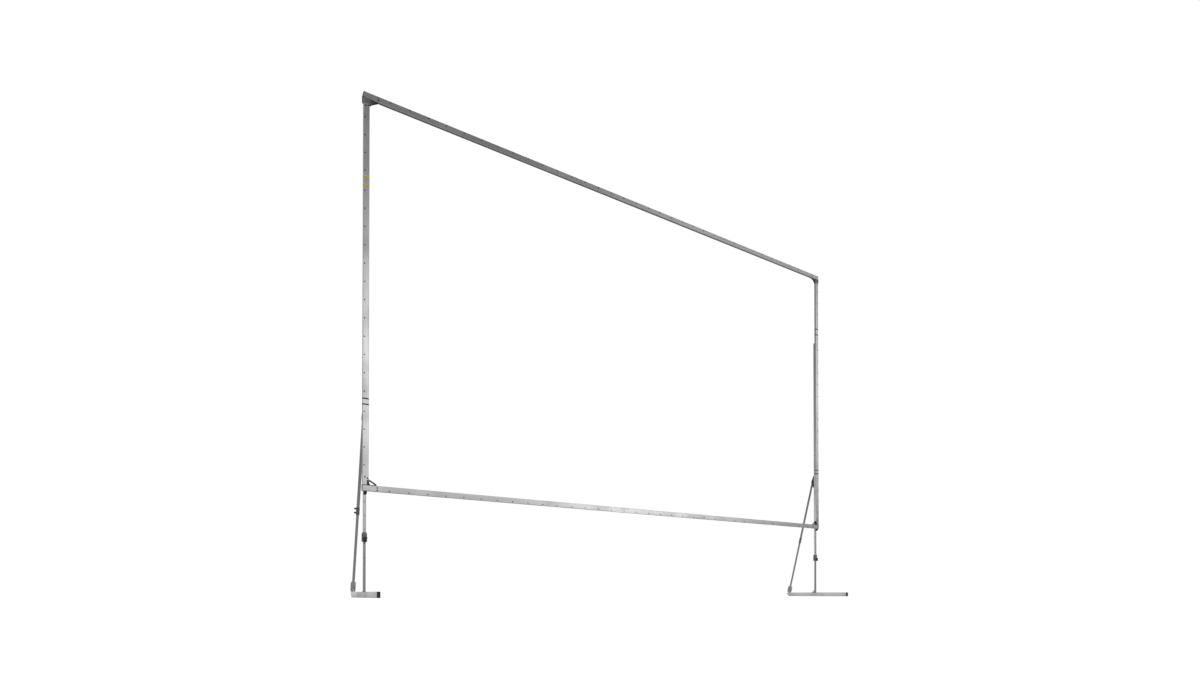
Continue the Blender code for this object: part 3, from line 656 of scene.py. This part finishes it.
class Shape(Group):
    """A geometry node tree that grows a repeated shape on the points of a seed mesh."""

    def __init__(self, name: str, sizes: dict[str, float]) -> None:
        """Make a tree with its inputs.

        Args:
            name: The tree's name.
            sizes: Default of each size by name, in metres, or a count where it is whole.
        """
        inputs = {"Points": "Geometry", **sizes, "Turn": "Rotation", "Finish": "Material"}
        super().__init__(name, "GeometryNodeTree", inputs, {"Grown": "Geometry"})

    def repeat(self, points: Socket, shape: Socket) -> None:
        """Set the shape on the points and end the tree.

        Args:
            points: The points that carry the shape.
            shape: The shape's geometry.
        """
        copies = self.add(
            "GeometryNodeInstanceOnPoints",
            {"Points": points, "Instance": shape, "Rotation": self.given["Turn"]},
        )
        whole = self.add("GeometryNodeRealizeInstances", {0: copies.outputs[0]})
        dressed = self.add(
            "GeometryNodeSetMaterial",
            {"Geometry": whole.outputs[0], "Material": self.given["Finish"]},
        )
        self.add("NodeGroupOutput", {0: dressed.outputs[0]})

    def grow(
        self,
        name: str,
        seed: Mesh,
        finish: Material,
        turn: Triple = (0.0, 0.0, 0.0),
        **sizes: float,
    ) -> Object:
        """Grow the shape on a seed and keep it as a plain mesh.

        Args:
            name: The new piece's name.
            seed: The mesh whose points or edges carry the shape. It is used up.
            finish: The material.
            turn: The turn of every copy, in radians.
            sizes: Sizes that differ from the tree's own, with spaces in their names as underscores.

        Returns:
            The piece, at the origin.
        """
        carrier = linked(name, seed)
        modifier = carrier.modifiers.new("grow", "NODES")
        modifier.node_group = self.tree
        inputs = {
            item.name: item.identifier
            for item in self.tree.interface.items_tree
            if item.in_out == "INPUT"
        }
        given = {key.replace("_", " "): value for key, value in sizes.items()}
        for key, value in {**given, "Turn": turn, "Finish": finish}.items():
            modifier[inputs[key]] = value
        mesh = evaluated(carrier, name)
        carrier.modifiers.remove(modifier)
        carrier.data = mesh
        bpy.data.meshes.remove(seed)
        return carrier


class ButtonHead(Shape):
    """A round head on a flange, as on a press stud or a bolt, all one closed skin."""

    rim_share = 0.92

    def __init__(self) -> None:
        """Build the tree: a flange, a step in to the neck, the head and its crown."""
        super().__init__(
            "button_head",
            {
                "Sides": 10,
                "Flange Radius": 0.0074,
                "Flange Height": 0.0017,
                "Head Radius": 0.0054,
                "Head Height": 0.0031,
                "Crown Height": 0.0009,
                "Crown Share": 0.62,
            },
        )
        given = self.given
        rim = self.math("MULTIPLY", given["Flange Radius"], self.rim_share)
        flange = self.add(
            "GeometryNodeMeshCone",
            {
                "Vertices": given["Sides"],
                "Radius Top": rim,
                "Radius Bottom": given["Flange Radius"],
                "Depth": given["Flange Height"],
            },
            fill_type="NGON",
        )
        step = self.math("DIVIDE", given["Head Radius"], rim)
        skin, top = self._raised(flange.outputs["Mesh"], flange.outputs["Top"], 0.0, step)
        skin, top = self._raised(skin, top, given["Head Height"], 1.0)
        skin, top = self._raised(skin, top, given["Crown Height"], given["Crown Share"])
        self.repeat(given["Points"], skin)

    def _raised(
        self, skin: Socket, top: Socket, rise: object, share: object
    ) -> tuple[Socket, Socket]:
        """Raise the top face and resize it.

        Args:
            skin: The mesh so far.
            top: The selection of its top face.
            rise: How far the face goes up, a number or a socket.
            share: Its new radius as a share of the old, a number or a socket.

        Returns:
            The mesh and the selection of its new top face.
        """
        raised = self.add(
            "GeometryNodeExtrudeMesh",
            {"Mesh": skin, "Selection": top, "Offset Scale": rise, "Individual": False},
            mode="FACES",
        ).outputs
        scaled = self.add(
            "GeometryNodeScaleElements",
            {"Geometry": raised["Mesh"], "Selection": raised["Top"], "Scale": share},
            domain="FACE",
        )
        return scaled.outputs[0], raised["Top"]


class WrappedBand(Shape):
    """A band of tape wound once round a rectangular section."""

    corner_steps = 3

    def __init__(self) -> None:
        """Build the tree: the section's outline, swept with the tape's own flat section."""
        super().__init__(
            "wrapped_band",
            {
                "Section Width": 0.0644,
                "Section Depth": 0.0324,
                "Corner": 0.004,
                "Band Width": 0.014,
                "Band Thickness": 0.0006,
            },
        )
        outline, tape = (
            self.add(
                "GeometryNodeCurvePrimitiveQuadrilateral",
                {"Width": self.given[width], "Height": self.given[height]},
            ).outputs[0]
            for width, height in (
                ("Section Width", "Section Depth"),
                ("Band Thickness", "Band Width"),
            )
        )
        eased = self.add(
            "GeometryNodeFilletCurve",
            {"Curve": outline, "Count": self.corner_steps, "Radius": self.given["Corner"]},
            mode="POLY",
        )
        band = self.add(
            "GeometryNodeCurveToMesh", {"Curve": eased.outputs[0], "Profile Curve": tape}
        )
        self.repeat(self.given["Points"], band.outputs[0])


class WeldBead(Shape):
    """The ripples of a weld along the edges of its seed."""

    ripple_roundness = 2

    def __init__(self) -> None:
        """Build the tree: even points along the seam, with one round ripple on each."""
        super().__init__("weld_bead", {"Ripple Radius": 0.0034, "Ripple Pitch": 0.0034})
        seam = self.add("GeometryNodeMeshToCurve", {0: self.given["Points"]})
        steps = self.add(
            "GeometryNodeResampleCurve",
            {"Curve": seam.outputs[0], "Length": self.given["Ripple Pitch"]},
            mode="LENGTH",
        )
        ripple = self.add(
            "GeometryNodeMeshIcoSphere",
            {"Radius": self.given["Ripple Radius"], "Subdivisions": self.ripple_roundness},
        )
        self.repeat(steps.outputs[0], ripple.outputs[0])


class Workshop:
    """What every sub-assembly uses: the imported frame, the finishes and the repeated shapes."""

    merge_distance = 1e-6
    flat_angle = math.radians(1)
    round_angle = math.radians(26)
    sharp_angle = math.radians(28)
    bevel_steps = 2
    hole_sides = 12
    least_volume, most_volume = 0.9, 1.01

    def __init__(self, frame: dict) -> None:
        """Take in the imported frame.
        """
        record = frame["record"]
        self.nodes: dict[str, Object] = frame["nodes"]
        self.body_of = {
            node: body for body, nodes in record["behaviour"]["bodies"].items() for node in nodes
        }
        self.slot_of = {row["node"]: row["material_slot"] for row in record["subparts"]}
        self.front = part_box("top_rail_1")[1].y - PROFILE_DEPTH
        self.effects = SurfaceEffects()
        self.coats: dict[Coat, Material] = {}
        self.button_head = ButtonHead()
        self.wrapped_band = WrappedBand()
        self.weld_bead = WeldBead()

    def coat(self, coat: Coat) -> Material:
        """Build the material of a finish at its first use.

        Args:
            coat: The finish.

        Returns:
            The material.
        """
        if coat not in self.coats:
            self.coats[coat] = coat.value.material(self.effects)
        return self.coats[coat]

    def dress(self, node: str, coat: Coat) -> None:
        """Give a solid of the frame its finish.

        Args:
            node: The solid's name.
            coat: The finish.
        """
        materials = self.nodes[node].data.materials
        materials.clear()
        materials.append(self.coat(coat))
        LOG.info("%s: %s", node, coat.value.name)

    def add(self, piece: Object, body: str, slot: str | None = None) -> None:
        """Let an added piece ride on its body.

        Args:
            piece: The piece.
            body: The body that carries it.
            slot: The record's material slot, where it has one. It is not used.
        """
        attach(piece, body)
        LOG.info("%s: %d faces on %s", piece.name, len(piece.data.polygons), body)

    def put_in_place(self, mesh: Mesh, node: str, coat: Coat) -> None:
        """Let a new mesh stand for a solid of the frame.

        Args:
            mesh: The mesh, which also names the piece.
            node: The solid that it stands for.
            coat: Its finish.
        """
        mesh.materials.clear()
        mesh.materials.append(self.coat(coat))
        piece = linked(mesh.name, mesh)
        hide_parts(node)
        self.add(piece, self.body_of[node], self.slot_of[node])

    def _merged(self, node: str) -> bmesh.types.BMesh:
        """Copy a solid's mesh with its split corners joined.

        Args:
            node: The solid's name.

        Returns:
            The copy.
        """
        shape = bmesh.new()
        shape.from_mesh(self.nodes[node].data)
        bmesh.ops.remove_doubles(shape, verts=shape.verts, dist=self.merge_distance)
        return shape

    def round_off(self, node: str, coat: Coat) -> None:
        """Put a copy with smooth round sides in the place of a tube.

        Args:
            node: The tube's name.
            coat: Its finish.
        """
        mesh = mesh_of(self._merged(node), f"{node}_round")
        mesh.shade_smooth()
        mesh.set_sharp_from_angle(angle=self.round_angle)
        self.put_in_place(mesh, node, coat)

    def drill(
        self, node: str, coat: Coat, holes: list[Vector], radius: float, depth: float
    ) -> None:
        """Put a copy with more holes through its front in the place of a tube.

        Args:
            node: The tube's name.
            coat: Its finish.
            holes: The middle of each hole, on the front face.
            radius: The holes' radius.
            depth: How far they go in from the front.
        """
        bits = bmesh.new()
        for hole in holes:
            bmesh.ops.create_cone(
                bits,
                cap_ends=True,
                segments=self.hole_sides,
                radius1=radius,
                radius2=radius,
                depth=2 * depth,
                matrix=Matrix.Translation(hole) @ Matrix.Rotation(TO_THE_FRONT[0], 4, "X"),
            )
        meshes = mesh_of(self._merged(node), f"{node}_plain"), mesh_of(bits, f"{node}_bits")
        work, tool = helpers = [linked(mesh.name, mesh) for mesh in meshes]
        cut = work.modifiers.new("holes", "BOOLEAN")
        cut.object, cut.operation, cut.solver = tool, "DIFFERENCE", "EXACT"
        drilled = evaluated(work, f"{node}_drilled")
        for helper, mesh in zip(helpers, meshes):
            bpy.data.objects.remove(helper)
            bpy.data.meshes.remove(mesh)
        self.put_in_place(drilled, node, coat)

    def ease(self, node: str, coat: Coat, width: float) -> None:
        """Put a copy with rounded edges in the place of a small fitting.

        Args:
            node: The fitting's name.
            coat: Its finish.
            width: How far in from an edge the rounding starts, in metres.
        """
        shape = self._merged(node)
        volume = shape.calc_volume()
        bmesh.ops.dissolve_limit(
            shape, angle_limit=self.flat_angle, verts=shape.verts, edges=shape.edges
        )
        bmesh.ops.bevel(
            shape,
            geom=[edge for edge in shape.edges if edge.calc_face_angle(0.0) > self.sharp_angle],
            offset=width,
            segments=self.bevel_steps,
            profile=0.5,
            affect="EDGES",
            clamp_overlap=True,
        )
        closed = all(edge.is_manifold for edge in shape.edges)
        kept = shape.calc_volume() / volume
        bmesh.ops.triangulate(shape, faces=[face for face in shape.faces if len(face.verts) > 4])
        mesh = mesh_of(shape, f"{node}_eased")
        if closed and self.least_volume < kept < self.most_volume:
            self.put_in_place(mesh, node, coat)
            return
        LOG.warning("%s keeps its plain solid: closed %s, volume share %.3f", node, closed, kept)
        bpy.data.meshes.remove(mesh)
        self.dress(node, coat)


@dataclass
class ScreenFrame:
    """The rails and uprights, with their press studs and the marking tape at their joints."""

    shop: Workshop
    rail_lengths: int = 6
    stud_height: float = 0.005
    stud_head_share: float = 0.8
    stud_reach: float = 0.02
    band_from_lower_joint: float = 0.031
    band_from_upper_joint: float = 0.0485
    yellow_band: float = 0.018
    black_band: float = 0.014
    narrow_band: float = 0.006

    @property
    def rails(self) -> list[str]:
        """The names of all lengths of the two rails."""
        numbers = range(1, self.rail_lengths + 1)
        return [f"{level.label}_rail_{number}" for level in Level for number in numbers]

    @property
    def uprights(self) -> list[str]:
        """The names of all lengths of the two uprights."""
        parts = ("lower", "middle", "upper")
        return [f"{side.label}_upright_{part}" for side in Side for part in parts]

    def build(self) -> None:
        """Dress the lengths and add what sits on them."""
        for node in self.rails:
            self.shop.dress(node, Coat.RAIL)
        for node in self.uprights:
            self.shop.dress(node, Coat.UPRIGHT)
        self._add_studs()
        self._add_bands()

    def _stud_places(self, node: str) -> list[Vector]:
        """Find a length's studs by the corners that stand proud of its front.

        Args:
            node: The length's name.

        Returns:
            The middle of each stud, on the front face.
        """
        limit = self.shop.front - self.stud_head_share * self.stud_height
        groups: list[list[Vector]] = []
        for vertex in self.shop.nodes[node].data.vertices:
            if vertex.co.y > limit:
                continue
            near = [g for g in groups if (g[0] - vertex.co).length < self.stud_reach]
            if near:
                near[0].append(vertex.co.copy())
            else:
                groups.append([vertex.co.copy()])
        places = []
        for group in groups:
            low, high = (Vector(map(end, zip(*group))) for end in (min, max))
            middle = (low + high) / 2
            places.append(Vector((middle.x, self.shop.front, middle.z)))
        return places

    def _add_studs(self) -> None:
        """Set a press stud with flange, neck and crowned head on each of the solids' studs."""
        places = [place for node in self.rails + self.uprights for place in self._stud_places(node)]
        studs = self.shop.button_head.grow(
            "press_studs",
            point_mesh("stud_places", places),
            self.shop.coat(Coat.STUD),
            turn=TO_THE_FRONT,
        )
        self.shop.add(studs, "frame", "dark_fitting")

    def _band_pair(self, side: Side, upper: bool) -> list[Vector]:
        """Find the two band places at one joint of one upright.

        Args:
            side: The upright's side.
            upper: Whether it is the upper joint.

        Returns:
            The place above the joint and the one below.
        """
        low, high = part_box(f"{side.label}_upright_middle")
        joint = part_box(f"{side.label}_upright_{'upper' if upper else 'middle'}")[0].z
        gap = self.band_from_upper_joint if upper else self.band_from_lower_joint
        depth = self.shop.front + PROFILE_DEPTH / 2
        return [Vector(((low.x + high.x) / 2, depth, joint + way * gap)) for way in (1, -1)]

    def _add_bands(self) -> None:
        """Wind the tape that marks which ends belong together."""
        yellow = self._band_pair(Side.LEFT, True)
        right_lower = self._band_pair(Side.RIGHT, False)
        black = self._band_pair(Side.LEFT, False) + self._band_pair(Side.RIGHT, True) + right_lower
        below = right_lower[0] - Vector((0, 0, (self.black_band + self.narrow_band) / 2))
        for name, coat, places, width, slot in (
            ("yellow_joint_bands", Coat.YELLOW_TAPE, yellow, self.yellow_band, None),
            ("black_joint_bands", Coat.BLACK_TAPE, black, self.black_band, "black_plastic"),
            ("narrow_joint_band", Coat.YELLOW_TAPE, [below], self.narrow_band, None),
        ):
            seed = point_mesh(name, places)
            band = self.shop.wrapped_band.grow(name, seed, self.shop.coat(coat), Band_Width=width)
            self.shop.add(band, "frame", slot)


@dataclass
class CornerFittings:
    """The four corner fittings with their stays and bolts."""

    shop: Workshop
    easing: float = 0.0008
    upright_bolts: tuple[tuple[float, float], ...] = ((0.024, 0.151), (0.052, 0.138))
    rail_bolts: tuple[tuple[float, float], ...] = ((0.154, 0.015), (0.154, 0.042))

    def build(self) -> None:
        """Ease the fittings and stays, and add the bolts."""
        for level in Level:
            for side in Side:
                corner = f"{level.label}_{side.label}"
                # The top corners' fittings get the paler copy of the powder coat.
                coat = Coat.WORN_FITTING if level is Level.TOP else Coat.FITTING
                self.shop.ease(f"{corner}_corner", coat, self.easing)
                self.shop.ease(f"{corner}_stay", Coat.STAY, self.easing)
        self._add_bolts()

    def _add_bolts(self) -> None:
        """Set two bolts on the upright and two on the rail at each corner."""
        places = []
        for level in Level:
            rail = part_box(f"{level.label}_rail_1")
            edge = rail[0].z if level is Level.BOTTOM else rail[1].z
            for side in Side:
                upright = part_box(f"{side.label}_upright_middle")
                outer = upright[0].x if side is Side.LEFT else upright[1].x
                for along, up in self.upright_bolts + self.rail_bolts:
                    x = outer - side.value * along
                    places.append(Vector((x, self.shop.front, edge + level.value * up)))
        bolts = self.shop.button_head.grow(
            "corner_bolts",
            point_mesh("bolt_places", places),
            self.shop.coat(Coat.BOLT),
            turn=TO_THE_FRONT,
            Sides=12,
            Flange_Radius=0.0085,
            Flange_Height=0.0012,
            Head_Radius=0.0062,
            Head_Height=0.0022,
        )
        self.shop.add(bolts, "frame", "dark_fitting")


@dataclass
class TelescopicLeg:
    """One leg: mast, clamp collar, inner tube and foot."""

    shop: Workshop
    side: Side
    easing: float = 0.0012
    first_hole: float = 0.735
    hole_pitch: float = 0.150
    hole_count: int = 5
    hole_radius: float = 0.005
    hole_depth: float = 0.004
    gusset_length: float = 0.055
    gusset_thickness: float = 0.006
    seam_lift: float = 0.0004
    seam_gap: float = 0.003

    def build(self) -> None:
        """Dress the tubes, ease the fittings and lay the welds."""
        label = self.side.label
        self.shop.dress(f"{label}_mast", Coat.UPRIGHT)
        self._drill_tube()
        # The feet get the painted-bright copy of the anodised finish.
        self.shop.dress(f"{label}_foot", Coat.FOOT)
        for node, coat in (
            ("collar", Coat.COLLAR),
            ("collar_lever", Coat.PLASTIC),
            ("rail_hook", Coat.PLASTIC),
            ("mast_cap", Coat.PLASTIC),
            ("foot_cap", Coat.PLASTIC),
            ("lower_hanger", Coat.FITTING),
            ("upper_hanger", Coat.FITTING),
        ):
            self.shop.ease(f"{label}_{node}", coat, self.easing)
        self._add_welds()

    def _drill_tube(self) -> None:
        """Give the inner tube the index holes that show through those of the mast."""
        tube = f"{self.side.label}_leg_tube"
        low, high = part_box(tube)
        holes = [
            Vector(((low.x + high.x) / 2, low.y, self.first_hole + number * self.hole_pitch))
            for number in range(self.hole_count)
        ]
        self.shop.drill(tube, Coat.LEG_TUBE, holes, self.hole_radius, self.hole_depth)

    def _add_welds(self) -> None:
        """Lay a bead round the tube's base and along the gusset."""
        label = self.side.label
        low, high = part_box(f"{label}_leg_tube")
        deck = low.z + self.seam_lift
        base = ((low.x, low.y), (high.x, low.y), (high.x, high.y), (low.x, high.y))
        corners = [Vector((x, y, deck)) for x, y in base]
        edges = [(0, 1), (1, 2), (2, 3), (3, 0)]
        for sign in (-1, 1):
            cheek = (low.x + high.x) / 2 + sign * self.gusset_thickness / 2
            first = len(corners)
            for back, up in (
                (self.gusset_length, 0.0),
                (self.seam_gap, 0.0),
                (0.0, self.seam_gap),
                (0.0, self.gusset_length),
            ):
                corners.append(Vector((cheek, high.y + back, deck + up)))
            edges += [(first, first + 1), (first + 2, first + 3)]
        seam = point_mesh(f"{label}_seam", corners, edges)
        beads = self.shop.weld_bead.grow(f"{label}_foot_welds", seam, self.shop.coat(Coat.WELD))
        self.shop.add(beads, f"{label}_leg", "anodised_aluminium")


@dataclass
class RearBrace:
    """One brace: bracket on the mast, tube, clamp with two knobs, rod and fork."""

    shop: Workshop
    side: Side
    easing: float = 0.0010

    def build(self) -> None:
        """Round off the tubes and ease the fittings."""
        label = self.side.label
        for node in ("brace_tube", "brace_rod"):
            self.shop.round_off(f"{label}_{node}", Coat.BRACE)
        for node, coat in (
            ("brace_bracket", Coat.FITTING),
            ("brace_clamp", Coat.COLLAR),
            ("brace_fork", Coat.FORK),
            ("brace_knob_upper", Coat.PLASTIC),
            ("brace_knob_lower", Coat.PLASTIC),
        ):
            self.shop.ease(f"{label}_{node}", coat, self.easing)


@dataclass(frozen=True)
class SoftLight:
    """A soft round light, far off, as metal shows it. Its angles are in degrees."""

    heading: float
    height: float
    spread: float
    strength: float

    @property
    def way(self) -> Vector:
        """The way to the light: its heading goes from the audience to +X."""
        heading, height = math.radians(self.heading), math.radians(self.height)
        level = math.cos(height)
        return Vector((level * math.sin(heading), -level * math.cos(heading), math.sin(height)))

    def seen(self, nodes: Nodes, look: Socket) -> Socket:
        """Add the nodes that show the light.

        Args:
            nodes: The world's nodes.
            look: The direction that is looked in.

        Returns:
            The light's brightness in that direction.
        """
        match = nodes.vector("DOT_PRODUCT", look, self.way)
        fall = 1.0 / (1.0 - math.cos(math.radians(self.spread)))
        glow = nodes.math("EXPONENT", nodes.math("MULTIPLY_ADD", match, fall, -fall))
        return nodes.math("MULTIPLY", glow, self.strength)


@dataclass(frozen=True)
class Lamp:
    """A soft rectangular lamp, which lights the floor and the coats but isn't seen in metal."""

    name: str
    place: Triple
    aim: Triple
    size: tuple[float, float]
    power: float

    def hang(self) -> None:
        """Hang the lamp at its place, facing its aim."""
        data = bpy.data.lights.new(self.name, "AREA")
        data.shape = "RECTANGLE"
        data.size, data.size_y = self.size
        data.energy = self.power
        lamp = linked(self.name, data)
        lamp.location = self.place
        facing = Vector(self.aim) - Vector(self.place)
        lamp.rotation_euler = facing.to_track_quat("-Z", "Y").to_euler()
        lamp.visible_camera = False
        lamp.visible_glossy = False


@dataclass
class Studio:
    """A pale floor, a white surround with soft lights, two soft lamps and the camera."""

    floor_low: tuple[float, float] = (-11.0, -11.0)
    floor_high: tuple[float, float] = (11.0, 3.0)
    floor_drop: float = 0.0005
    floor_grey: float = 0.28
    floor_glow: float = 0.86
    floor_in_metal: float = 0.22
    room: float = 0.05
    room_on_coats: float = 0.60
    sensor: float = 36.0
    lens: float = 19.211
    farthest: float = 200.0
    eye: Triple = (-5.2931, -7.1651, 0.0443)
    heading: float = -32.79
    tilt: float = 0.474
    rise: float = 0.20903
    # The narrow lights follow the photo's tones, the broad ones light the other views.
    lights: tuple[SoftLight, ...] = (
        SoftLight(14.0, 20.0, 7.0, 1.75),
        SoftLight(14.0, 10.0, 7.0, 0.90),
        SoftLight(30.0, 7.0, 7.0, 0.75),
        SoftLight(38.0, 13.0, 7.0, 2.45),
        SoftLight(38.0, 27.0, 7.0, 0.60),
        SoftLight(46.0, 13.0, 7.0, 0.30),
        SoftLight(52.0, 17.0, 7.0, 0.80),
        SoftLight(-128.0, 3.0, 9.0, 1.05),
        SoftLight(-128.0, 24.0, 9.0, 0.10),
        SoftLight(-167.0, 0.0, 9.0, 0.65),
        SoftLight(-50.0, 22.0, 36.0, 0.60),
        SoftLight(105.0, 25.0, 32.0, 0.50),
        SoftLight(165.0, 25.0, 36.0, 0.60),
        SoftLight(0.0, 90.0, 33.0, 0.30),
    )
    lamps: tuple[Lamp, ...] = (
        Lamp("front_lamp", (3.2, -6.5, 4.5), (3.2, 0.0, 4.5), (13.4, 6.0), 280.0),
        Lamp("rear_lamp", (4.0, 8.0, 4.0), (0.0, 0.0, 2.4), (5.0, 4.0), 90.0),
    )

    def build(self) -> None:
        """Set up the whole studio."""
        self._lay_floor()
        self._light_surround()
        for lamp in self.lamps:
            lamp.hang()
        self._place_camera()
        bpy.context.scene.view_settings.view_transform = "Standard"

    def _lay_floor(self) -> None:
        """Lay the floor: white to the camera, with the object's shadow on it."""
        (x0, y0), (x1, y1) = self.floor_low, self.floor_high
        z = -self.floor_drop
        mesh = bpy.data.meshes.new("studio_floor")
        mesh.from_pydata([(x0, y0, z), (x1, y0, z), (x1, y1, z), (x0, y1, z)], [], [(0, 1, 2, 3)])
        material = bpy.data.materials.new("studio_floor")
        nodes = Nodes(cleared(material))
        path = nodes.add("ShaderNodeLightPath").outputs
        seen = nodes.math("MAXIMUM", path["Is Camera Ray"], path["Is Transmission Ray"])
        in_metal = nodes.math("MULTIPLY", path["Is Glossy Ray"], self.floor_in_metal)
        seen = nodes.math("MAXIMUM", seen, in_metal)
        grey = (self.floor_grey, self.floor_grey, self.floor_grey, 1.0)
        lit = nodes.add("ShaderNodeBsdfDiffuse", {"Color": grey})
        strength = nodes.math("MULTIPLY", seen, self.floor_glow)
        glow = nodes.add("ShaderNodeEmission", {"Color": WHITE, "Strength": strength})
        both = nodes.add("ShaderNodeAddShader", {0: lit.outputs[0], 1: glow.outputs[0]})
        nodes.add("ShaderNodeOutputMaterial", {"Surface": both.outputs[0]})
        mesh.materials.append(material)
        floor = linked("studio_floor", mesh)

    def _light_surround(self) -> None:
        """Make the world: white to the camera, and to metal a dim room with the soft lights."""
        world = bpy.data.worlds.new("studio")
        bpy.context.scene.world = world
        nodes = Nodes(cleared(world))
        path = nodes.add("ShaderNodeLightPath").outputs
        look = nodes.add("ShaderNodeTexCoord").outputs["Generated"]
        shown: object = self.room
        for light in self.lights:
            shown = nodes.math("ADD", light.seen(nodes, look), shown)
        mirrored = nodes.math("MAXIMUM", path["Is Glossy Ray"], path["Is Transmission Ray"])
        level = nodes.add("ShaderNodeMix", {0: mirrored, 2: self.room_on_coats, 3: shown})
        level = nodes.add(
            "ShaderNodeMix", {0: path["Is Camera Ray"], 2: level.outputs[0], 3: 1.0}
        )
        sky = nodes.add("ShaderNodeBackground", {"Color": WHITE, "Strength": level.outputs[0]})
        nodes.add("ShaderNodeOutputWorld", {"Surface": sky.outputs[0]})

    def _place_camera(self) -> None:
        """Place the camera near the floor, in front and to the left."""
        data = bpy.data.cameras.new("camera")
        data.sensor_width = self.sensor
        data.lens = self.lens
        data.shift_y = self.rise
        data.clip_end = self.farthest
        camera = linked("camera", data)
        camera.location = self.eye
        camera.rotation_euler = (math.radians(90 + self.tilt), 0.0, math.radians(self.heading))
        bpy.context.scene.camera = camera


def clear_startup() -> None:
    """Remove the objects of Blender's startup scene."""
    for stale in list(bpy.data.objects):
        bpy.data.objects.remove(stale)


def main() -> None:
    """Load the frame, build each sub-assembly in turn and set up the studio."""
    logging.basicConfig(level=logging.INFO, format="%(name)s: %(message)s")
    clear_startup()
    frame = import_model()
    shop = Workshop(frame)
    ScreenFrame(shop).build()
    CornerFittings(shop).build()
    for side in Side:
        TelescopicLeg(shop, side).build()
        RearBrace(shop, side).build()
    Studio().build()


if __name__ == "__main__":
    main()
